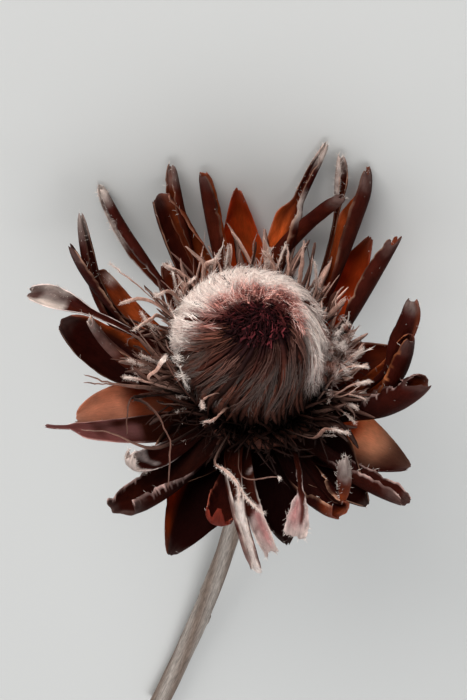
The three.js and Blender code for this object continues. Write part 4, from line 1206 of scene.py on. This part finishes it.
# Open florets
# The outer florets have opened: flat wiry strands, tangled and strap-like ones and shreds have sprung out
# between the dome and the bracts. They are beige pink with painted highlights along their margins, and
# darkened by painted shade at their feet and towards turn 268, where they are also shorter and thinner. Some
# end in a fork of prongs. Each is a flat tube along a line that curls at random or passes a few given spots.
OPEN_FLORETS = 64
SHORT_FLORETS = 160
TANGLED = 90
STRAPS = 90
SHREDS = 90
SHRED_STEPS = 10
SHRED_SIDES = 5
FLORET_FOOT = (13.5, 1.6)
FILAMENT_T = np.concatenate([np.linspace(0, 0.95, 20), [0.985, 1]])
FILAMENT_SIDES = 6
SHORT_STEPS = [0, 3, 6, 9, 12, 15, 18, 20, 21]  # steps of a long floret that a short one has
SHORT_SIDES = 4
PRONG_STEPS = 6
PRONG_SIDES = 4
FILAMENT_BROWN = (0.06, 0.022, 0.015)
FILAMENT_PINK = (0.55, 0.32, 0.25)
SHADE_BROWN = (0.01, 0.0045, 0.0035)

# Florets that stand out: the spots that each passes (turn, reach, rise), its width, its paleness, and
# how woolly its end is.
CHOSEN_FLORETS = [
    ([(207, 14, 2), (204.5, 25.9, 14), (203.6, 32.4, 19), (201.1, 38.3, 22),
      (198.3, 43.2, 25)], 0.9, 0.25, 0),
    ([(205, 14, 3), (203, 34, 20), (200.4, 43.9, 24)], 0.6, 0.2, 0),
    ([(210, 14, 2), (205, 28, 19), (203.3, 34.5, 25)], 1.1, 0.8, 1),
    ([(209, 14, 3), (204, 28, 19), (203.3, 26.1, 24), (201.2, 23.9, 27)], 1.1, 0.9, 1),
    ([(160, 14, 2), (162.8, 25.1, 16), (171.6, 27.1, 21), (182.2, 30.4, 25)], 1.3, 0.9, 0.5),
    ([(149, 14, 2), (155.6, 29.5, 15), (166.0, 35.4, 20)], 1.4, 0.8, 0.3),
    ([(152, 14, 2), (154.2, 30.5, 16), (153.9, 41.7, 22)], 0.8, 0.5, 0.4),
    ([(145, 14, 2), (149.1, 24.9, 18), (162.0, 27.2, 25)], 1.2, 0.9, 1),
    ([(130, 14, 2), (133.8, 26.1, 14), (140.9, 31.8, 20)], 1.4, 0.8, 0.5),
    ([(143, 14, 2), (143, 24, 15), (141.1, 21.4, 26)], 1.4, 0.95, 0.6),
    ([(126, 14, 2), (125.2, 25.5, 15), (120.6, 22.1, 26)], 1.3, 0.9, 0.5),
    ([(207, 18, 8), (207.7, 32.9, 18), (213.5, 31.8, 20), (221, 31, 19), (228.5, 32.6, 20),
      (233.8, 34, 20), (237.5, 37.5, 17), (241.4, 42.0, 14)], 0.75, 0.1, 0),
    ([(207.5, 30, 16), (207.5, 33.9, 18), (213.8, 36.9, 18), (218.5, 38.9, 16)], 0.9, 0.05, 0),
    ([(228, 20, 4), (226.7, 34.8, 12), (215.5, 42.0, 17), (210.7, 48.1, 18)], 0.9, 0.2, 0),
    ([(241, 17.5, 18), (238.8, 18.8, 24), (235.6, 23.1, 26), (239.1, 25.2, 27)], 0.8, 0.6, 0.8),
    ([(248, 18, 18), (247.3, 20.7, 22), (246.2, 24.9, 24), (241.9, 27.1, 24)], 1.0, 0.5, 0.2),
    ([(247, 15, 2), (251.9, 30.9, 16), (258.3, 34.0, 19), (264.0, 38.7, 23), (265.3, 44.0, 24)], 0.5, 1, 0.5),
    ([(248, 15, 3), (251.9, 31.1, 16), (258.3, 34.4, 19), (263.6, 38.4, 22.5), (267.6, 42.6, 24),
      (272.3, 46.7, 26)], 0.6, 1, 0.7),
    ([(256, 16, 3), (264.5, 33.8, 17), (279.5, 35.0, 20)], 0.45, 0.2, 0),
    ([(292, 15, 3), (298.4, 26.7, 18), (304.5, 27.8, 22), (309.3, 32.4, 25)], 1.0, 0.25, 1),
    ([(72, 15, 3), (73.6, 19.6, 20), (77.9, 22.9, 28)], 1.3, 0.8, 0.2),
    ([(60, 15, 3), (64.3, 19.5, 20), (69.1, 24.5, 30)], 1.0, 0.7, 0.1),
    ([(85, 15, 3), (83.3, 20.2, 20), (92.8, 21.9, 26)], 1.4, 0.9, 0.2),
    ([(345, 15, 3), (338, 18.8, 18), (340.5, 22, 24), (343, 26, 25)], 0.9, 0.6, 1),
    ([(332, 15, 3), (326.2, 21.4, 18), (330.4, 24.6, 24), (336, 28, 25)], 0.8, 0.5, 1),
    ([(352, 15, 3), (350, 20, 18), (352, 24, 26)], 0.9, 0.5, 0.6),
]


def chance(piece, use):
    """A number from 0 to 1 that always comes out the same for a given piece and use."""
    wave = math.sin(piece * 12.9898 + use * 78.233) * 43758.5453
    return wave - math.floor(wave)


def through_spots(spots, t):
    """A smooth line through a few spots."""
    knots = np.array([spot(*place) for place in spots])
    knots = np.concatenate([[2 * knots[0] - knots[1]], knots, [2 * knots[-1] - knots[-2]]])
    span = t * (len(knots) - 3)
    first = np.minimum(span.astype(int), len(knots) - 4)
    f = (span - first)[:, None]
    a, b, c, d = (knots[first + k] for k in range(4))
    return b + f / 2 * (c - a + f * (2 * a - 5 * b + 4 * c - d + f * (3 * (b - c) + d - a)))


def floret_line(index, t):
    """A long floret's line: out from the dome's foot, bent up at a knee."""
    reach, rise = FLORET_FOOT
    turn = index * GOLDEN_TURN % 360
    widest = (1 - math.sin(math.radians(turn))) / 2
    splay = math.radians(32 + 22 * widest + 16 * (chance(index, 1) - 0.5))
    length = 18 + 8 * chance(index, 2)
    swing = 24 * (chance(index, 3) - 0.5)
    foot = spot(turn, reach, rise)
    end = spot(turn + swing, reach + length * math.sin(splay), rise + length * math.cos(splay))
    knee = foot + (end - foot) * 0.55 + spot(turn, 2.2, -1.2)
    t = t[:, None]
    return (1 - t) ** 2 * foot + 2 * (1 - t) * t * knee + t**2 * end


def sprung_lines(count, foot_reach, splay_range, length_range, curl, t, draws, turn_range=(0, 360)):
    """Lines that start round the dome's foot and curl in any direction as they go."""
    first, last = turn_range
    turn = first + np.arange(count) * GOLDEN_TURN % 360 * (last - first) / 360 + draws.uniform(-9, 9, count)
    splay = np.radians(draws.uniform(*splay_range, count))[:, None]
    splay = splay + np.radians(draws.normal(0, curl, (count, 1))) * t
    swing = np.radians(draws.normal(0, 16, (count, 1))) + np.radians(draws.normal(0, curl, (count, 1))) * t
    outwards, aside, rising = spot(turn, 1, 0), spot(turn + 90, 1, 0), np.array([0, 0, 1])
    heading = (
        (np.sin(splay) * np.cos(swing))[..., None] * outwards[:, None]
        + np.sin(swing)[..., None] * aside[:, None]
        + (np.cos(splay) * np.cos(swing))[..., None] * rising
    )
    length = draws.uniform(*length_range, count)[:, None, None]
    path = np.cumsum(heading * np.diff(t, prepend=0)[:, None], axis=1) * length
    feet = spot(turn, draws.uniform(*foot_reach, count), draws.uniform(0.4, 3, count))
    return feet[:, None] + path


def flat_strands(lines, widths, tint, draws, sides, flatness):
    """Flat tubes as one object, with a painted highlight along their two margins."""
    count, steps = len(lines), lines.shape[1]
    points, faces = tubes(lines, widths, sides, flatness, draws.uniform(0, 3, count))
    strand = np.arange(count)[:, None]
    grain = stacked(strand * 3.1, np.linspace(0, 30, steps)[None], strand * 1.3)
    margin = np.abs(np.cos(2 * math.pi * np.arange(sides) / sides))
    margin = np.tile(np.append(np.tile(margin, steps - 1), 0.5), count)[:, None]
    streaks = per_point(grain, sides) + margin * (0.7, 0, 0)
    # Painted highlight: the tint is lighter along the margins and darker between them.
    return tube_piece(points, faces, per_point(tint, sides) * (0.7 + 0.6 * margin**2), streaks)


# Where the florets run: the chosen ones, the long ones, and the short, tangled and strap-like ones
draws = np.random.default_rng(51)
t = FILAMENT_T
chosen_spots, chosen_width, chosen_paleness, chosen_wool = zip(*CHOSEN_FLORETS)
chosen = len(CHOSEN_FLORETS)
chosen_lines = np.array([through_spots(spots, t) for spots in chosen_spots])
long_lines = np.array([floret_line(i + 1, t) for i in range(OPEN_FLORETS)])
bent = draws.normal(0, 1, (OPEN_FLORETS, 1, 3))
waves = bent * np.sin(t * 5 + draws.uniform(0, 6, (OPEN_FLORETS, 1)))[..., None]
long_lines = long_lines + waves * 1.3 * t[None, :, None]
short_lines = sprung_lines(
    SHORT_FLORETS, foot_reach=(12.6, 15), splay_range=(10, 55), length_range=(13, 25), curl=34,
    t=t, draws=draws,
)
tangled_lines = sprung_lines(
    TANGLED, foot_reach=(13, 16), splay_range=(20, 58), length_range=(15, 26), curl=42,
    t=t, draws=draws, turn_range=(140, 235),
)
strap_lines = sprung_lines(
    STRAPS, foot_reach=(13.5, 15.5), splay_range=(42, 62), length_range=(18, 28), curl=20,
    t=t, draws=draws,
)
filaments = np.concatenate([chosen_lines, long_lines, short_lines, tangled_lines, strap_lines])
filaments += draws.normal(0, 0.1, filaments.shape) * t[None, :, None]
count = len(filaments)

# Their widths and colours: shrunk towards turn 268 and darkened there by painted shade, and white at woolly
# ends
tip_turn = np.degrees(polar(filaments[:, -1])[1])
shrunk_and_shaded = facing(tip_turn, 268, 0.25, 0.8)
feet = filaments[:, :1]
beside = facing(tip_turn, 10, 0.6, 0.9)
shrunk = np.where(np.arange(count) < chosen, 1, 1 - 0.35 * shrunk_and_shaded - 0.3 * beside)[:, None, None]
filaments = feet + (filaments - feet) * shrunk
width = draws.uniform(0.6, 1.5, count)
width[:chosen] = chosen_width
width[-STRAPS:] += draws.uniform(0, 1.2, STRAPS)
width[chosen:] *= 1 - 0.45 * shrunk_and_shaded[chosen:]
# Painted shade keeps the florets towards turn 220 darker.
shaded = 0.55 * facing(tip_turn, 220, 0.4, 0.9)
paleness = draws.uniform(0, 1, count) ** 1.5 * (1 - shrunk_and_shaded) * (1 - shaded)
paleness[-STRAPS:] *= 0.9
paleness[-STRAPS - TANGLED : -STRAPS] *= 0.5
paleness[:chosen] = chosen_paleness
paleness = paleness[:, None] * np.ones_like(t)
shrunk_and_shaded[:chosen] = 0
shrunk_and_shaded = shrunk_and_shaded[:, None] * np.ones_like(t)
blunt_end = np.where(draws.uniform(0, 1, count) < 0.4, 9, 3)[:, None]
widths = width[:, None] * (0.9 + 0.2 * np.sin(t * 9 + width[:, None] * 40))
widths = widths * np.sqrt(np.clip(1.02 - t**blunt_end, 0.02, 1))
woolliness = np.where(draws.uniform(0, 1, count) < 0.2, draws.uniform(0.3, 1, count), 0) * (1 - shrunk_and_shaded[:, 0])
woolliness[-STRAPS:] = 0
woolliness[:chosen] = chosen_wool
widths *= 1 + 0.3 * woolliness[:, None] * np.exp(-(((t - 0.93) / 0.09) ** 2))
# Painted shade: darker towards turn 268, and near black at the florets' feet.
tint = mixed(mixed(FILAMENT_BROWN, FILAMENT_PINK, paleness), SHADE_BROWN, shrunk_and_shaded * 0.92)
tint = mixed(tint, SHADE_BLACK, 0.92 * (1 - eased(t + 0 * paleness, 0.1, 0.6)))
woolly_end = np.maximum(0.15 * paleness, 0.9 * woolliness[:, None]) * eased(t + 0 * paleness, 0.72, 0.92)
tint = mixed(tint, TIP_WHITE, woolly_end)
long_ones = chosen + OPEN_FLORETS
long_piece = flat_strands(
    filaments[:long_ones], widths[:long_ones], tint[:long_ones], draws, sides=FILAMENT_SIDES, flatness=0.45
)
short_piece = flat_strands(
    filaments[long_ones:, SHORT_STEPS], widths[long_ones:, SHORT_STEPS], tint[long_ones:, SHORT_STEPS], draws,
    sides=SHORT_SIDES, flatness=0.45,
)

# The prongs that some florets end in
heading = filaments[:, -1] - filaments[:, -5]
heading /= np.linalg.norm(heading, axis=1, keepdims=True)
prongs_each = np.where(draws.uniform(0, 1, count) < 0.2, draws.integers(1, 4, count), 0)
prongs_each[:chosen] = 0
owner = np.repeat(np.arange(count), prongs_each)
prongs = len(owner)
prong_start = filaments[owner, -3]
prong_heading = heading[owner] + draws.normal(0, 0.22, (prongs, 3))
prong_curl = draws.normal(0, 0.35, (prongs, 3))
prong_length = draws.uniform(1.5, 4.5, (prongs, 1))


def prong_point(prong, t):
    """Points on prongs, each at a share of the way along."""
    return prong_start[prong] + (prong_heading[prong] * t + prong_curl[prong] * t**2) * prong_length[prong]


t = np.linspace(0, 1, PRONG_STEPS)
prong_lines = np.stack([prong_point(np.arange(prongs), step) for step in t], axis=1)
prong_widths = draws.uniform(0.25, 0.5, (prongs, 1)) * (1 - 0.55 * t)
prong_tint = tint[owner, -1:] * np.ones((1, PRONG_STEPS, 1))
prong_piece = flat_strands(prong_lines, prong_widths, prong_tint, draws, sides=PRONG_SIDES, flatness=0.6)

# The shreds
t = np.linspace(0, 1, SHRED_STEPS)
shred_lines = sprung_lines(
    SHREDS, foot_reach=(11.5, 16), splay_range=(5, 80), length_range=(7, 17), curl=55, t=t, draws=draws
)
shred_widths = draws.uniform(0.8, 1.9, (SHREDS, 1)) * (1 - 0.5 * t) * (0.8 + 0.2 * np.sin(t * 9))
# The shreds are near black, partly with painted shade in the gap between the dome and the bracts.
shred_tint = mixed(SHADE_BLACK, FILAMENT_BROWN, draws.uniform(0, 0.5, (SHREDS, 1)) * np.ones_like(t))
shred_piece = flat_strands(shred_lines, shred_widths, shred_tint, draws, sides=SHRED_SIDES, flatness=0.25)

wiry_floret = new_finish("wiry_floret", 0.6, gloss=0.08)
speckle(wiry_floret, (4, 0.8, 1), 0.6, 1.3)
speckle(wiry_floret, (5, 0.2, 1), 0.65, 1.35)
open_florets = joined([long_piece, short_piece, prong_piece, shred_piece])
place_piece(open_florets, "sprung_florets", "open_florets", wiry_floret)


# Wool on the florets' ends
# Fine fuzz stands on the prongs, thick white tufts on the woolly ends, and bristles on a forked pair of
# the chosen florets and on the end of a thin one. All are tapered hairs with the wool's finish.
TUFT_HAIRS = 300  # hairs on the woolliest end
FUZZ_HAIRS = 12  # hairs on a prong
FORKED_PAIR = (16, 17)  # which of the chosen florets they are
KNOBBED = 18
BRISTLES = (330, 420, 30)


def fine_hairs(roots, headings, length_range, width, tint, draws):
    """Short tapered hairs as one object, with a colour for each."""
    hairs = len(roots)
    t = np.linspace(0, 1, 3)
    headings = headings / np.linalg.norm(headings, axis=1, keepdims=True)
    lines = roots[:, None] + headings[:, None] * t[:, None] * draws.uniform(*length_range, (hairs, 1, 1))
    lines[:, 1] += draws.normal(0, 0.08, (hairs, 3))
    return hair_piece(lines, width * (1 - 0.5 * t) * np.ones((hairs, 1)), tint[:, None] * np.ones((1, 3, 1)))


def on_floret(owner, t):
    """Points on florets, each at a share of the way along."""
    below = np.clip(np.searchsorted(FILAMENT_T, t) - 1, 0, len(FILAMENT_T) - 2)
    between = ((t - FILAMENT_T[below]) / (FILAMENT_T[below + 1] - FILAMENT_T[below]))[:, None]
    return mixed(filaments[owner, below], filaments[owner, below + 1], between * np.ones(3))


# White wool on the woolly ends
owner = np.repeat(np.arange(count), (woolliness * TUFT_HAIRS).astype(int))
hair_t = 1 - 0.28 * draws.uniform(0, 1, len(owner)) ** 1.3
roots = on_floret(owner, hair_t) + draws.normal(0, 0.2, (len(owner), 3))
headings = heading[owner] * draws.uniform(0, 1.2, (len(owner), 1)) + draws.normal(0, 0.75, roots.shape)
tuft_tint = mixed(TIP_WHITE, FILAMENT_PINK, draws.uniform(0, 0.6, len(owner)))
woolly_ends = fine_hairs(roots, headings, length_range=(0.25, 1.05), width=0.055, tint=tuft_tint, draws=draws)

# Fuzz on the prongs
prong = np.repeat(np.arange(prongs), FUZZ_HAIRS)
roots = prong_point(prong, draws.uniform(-0.3, 1, (len(prong), 1)))
headings = draws.normal(0, 0.8, roots.shape) + prong_heading[prong] * 1.3
fuzz_tint = prong_tint[prong, 0] * 1.2
prong_fuzz = fine_hairs(roots, headings, length_range=(0.2, 0.8), width=0.09, tint=fuzz_tint, draws=draws)

# Bristles on the forked pair and on the knobbed one
owner = np.repeat([*FORKED_PAIR, KNOBBED], BRISTLES)
hair_t = draws.uniform(0.35, 1, len(owner))
hair_t = np.where(owner == KNOBBED, 0.98, hair_t)
roots = on_floret(owner, hair_t) + draws.normal(0, 0.15, (len(owner), 3))
headings = draws.normal(0, 0.6, roots.shape) + heading[owner] * 0.9
headings[:, 1] -= 2.5 * (owner == KNOBBED)
white = np.tile(TIP_WHITE, (len(owner), 1))
bristles = fine_hairs(roots, headings, length_range=(0.3, 1.5), width=0.07, tint=white, draws=draws)
floret_fuzz = joined([woolly_ends, prong_fuzz, bristles])
place_piece(floret_fuzz, "floret_tip_fuzz", "open_florets", silky_hair)


# Loose wool
# Soft wisps of cream and rose hair hang between the dome and the bracts, thickest at the dome's right. The
# hairs of a wisp start together and curl the same way.
WISPS_RIGHT = 34
WISPS_ROUND = 16
WISP_HAIRS = 26
WISP_HAIR_WIDTH = 0.095
WISP_STEPS = 5

wisp_turn = np.concatenate([draws.uniform(-34, 20, WISPS_RIGHT), draws.uniform(20, 216, WISPS_ROUND)])
wisps = len(wisp_turn)
wisp_roots = spot(wisp_turn, draws.uniform(15.5, 20.5, wisps), draws.uniform(12, 24, wisps))
wisp_headings = spot(wisp_turn + draws.normal(0, 45, wisps), 1, 0)
wisp_headings[:, 2] = draws.normal(0.5, 0.45, wisps)
wisp_headings /= np.linalg.norm(wisp_headings, axis=1, keepdims=True)
wisp_curl = draws.normal(0, 0.35, (wisps, 3))
owner = np.repeat(np.arange(wisps), WISP_HAIRS)
hairs = len(owner)
t = np.linspace(0, 1, WISP_STEPS)
hair_length = draws.uniform(1.2, 4.2, wisps)[owner] * draws.uniform(0.5, 1.1, hairs)
hair_heading = wisp_headings[owner] + draws.normal(0, 0.2, (hairs, 3))
lines = hair_heading[:, None] * t[:, None] + wisp_curl[owner][:, None] * t[:, None] ** 2
hair_roots = wisp_roots[owner] + draws.normal(0, 0.26, (hairs, 3))
lines = lines * hair_length[:, None, None] + hair_roots[:, None]
lines += draws.normal(0, 0.12, lines.shape) * t[:, None]
widths = WISP_HAIR_WIDTH * (1 - 0.6 * t) * draws.uniform(0.7, 1.3, (hairs, 1))
tone = draws.uniform(0, 1, wisps)[owner][:, None] * np.ones_like(t)
tint = mixed(mixed(CREAM, WORN_ROSE, tone), FILAMENT_BROWN, 1 - eased(t + 0 * tone, 0.1, 0.8))
loose_wool = hair_piece(lines, widths, tint)
place_piece(loose_wool, "loose_wool", "open_florets", silky_hair)


# Floor, light and camera
# A plain pale floor under soft studio light. The camera looks down on the lying flower, 28 degrees off
# its axis, so that the flower stands in the picture as a flower held upright by its stem.
FLOOR_HALF = 3.0
FLOOR_COLOUR = (0.5, 0.5, 0.49, 1)
SKY_COLOUR = (0.9, 0.93, 0.95, 1)
SKY_STRENGTH = 0.42
VIEW_OFF_AXIS = 28  # degrees
PICTURE_LEAN = 3  # degrees that the flower leans in the picture
VIEW_DISTANCE = 550  # from the picture's middle to the camera
TARGET_RIGHT = -6.25  # the picture's middle from the flower's origin, rightwards
TARGET_UP = 7.6
FOCAL_LENGTH = 115.45

bpy.ops.mesh.primitive_plane_add(size=2 * FLOOR_HALF, location=(0, 0, 0))
floor = bpy.context.object
floor.name = "floor"
bpy.ops.object.transform_apply()
pale_floor = bpy.data.materials.new("pale_floor")
pale_floor.use_nodes = True
floor_shader = pale_floor.node_tree.nodes["Principled BSDF"]
floor_shader.inputs["Base Color"].default_value = FLOOR_COLOUR
floor_shader.inputs["Roughness"].default_value = 0.9
floor.data.materials.append(pale_floor)


def soft_light(name, place, aim, size, power, colour):
    """A square lamp at a place, turned to shine on its aim."""
    data = bpy.data.lights.new(name, "AREA")
    data.shape = "SQUARE"
    data.size = size
    data.energy = power
    data.color = colour
    light = bpy.data.objects.new(name, data)
    bpy.context.collection.objects.link(light)
    light.location = place
    light.rotation_euler = (Vector(aim) - light.location).to_track_quat("-Z", "Y").to_euler()


soft_light(
    "front_light", place=(0.5, -1.42, 0.42), aim=(0, -0.06, 0.03), size=1.1, power=36, colour=(1, 0.98, 0.96)
)
soft_light(
    "back_light", place=(-0.1, 0.5, 1.2), aim=(0, -0.05, 0), size=1.2, power=14, colour=(0.98, 0.99, 1)
)

world = bpy.data.worlds.new("studio")
bpy.context.scene.world = world
world.use_nodes = True
sky = world.node_tree.nodes["Background"]
sky.inputs["Color"].default_value = SKY_COLOUR
sky.inputs["Strength"].default_value = SKY_STRENGTH

# The camera's place and directions on the flower's axes, before they are laid down with it
off_axis, lean = math.radians(VIEW_OFF_AXIS), math.radians(PICTURE_LEAN)
backwards = np.array([0, -math.sin(off_axis), math.cos(off_axis)])
upright = np.array([0, math.cos(off_axis), math.sin(off_axis)])
sideways = np.array([1, 0, 0])
picture_right = sideways * math.cos(lean) + upright * math.sin(lean)
picture_up = upright * math.cos(lean) - sideways * math.sin(lean)
target = picture_right * TARGET_RIGHT + picture_up * TARGET_UP
camera_place = lay_down(target + backwards * VIEW_DISTANCE)
looking = Matrix((flower_axes @ np.stack([picture_right, picture_up, backwards], axis=1)).tolist())
camera_data = bpy.data.cameras.new("camera")
camera_data.lens = FOCAL_LENGTH
camera = bpy.data.objects.new("camera", camera_data)
bpy.context.collection.objects.link(camera)
camera.matrix_world = Matrix.Translation(camera_place) @ looking.to_4x4()
bpy.context.scene.camera = camera
bpy.context.scene.view_settings.view_transform = "Standard"
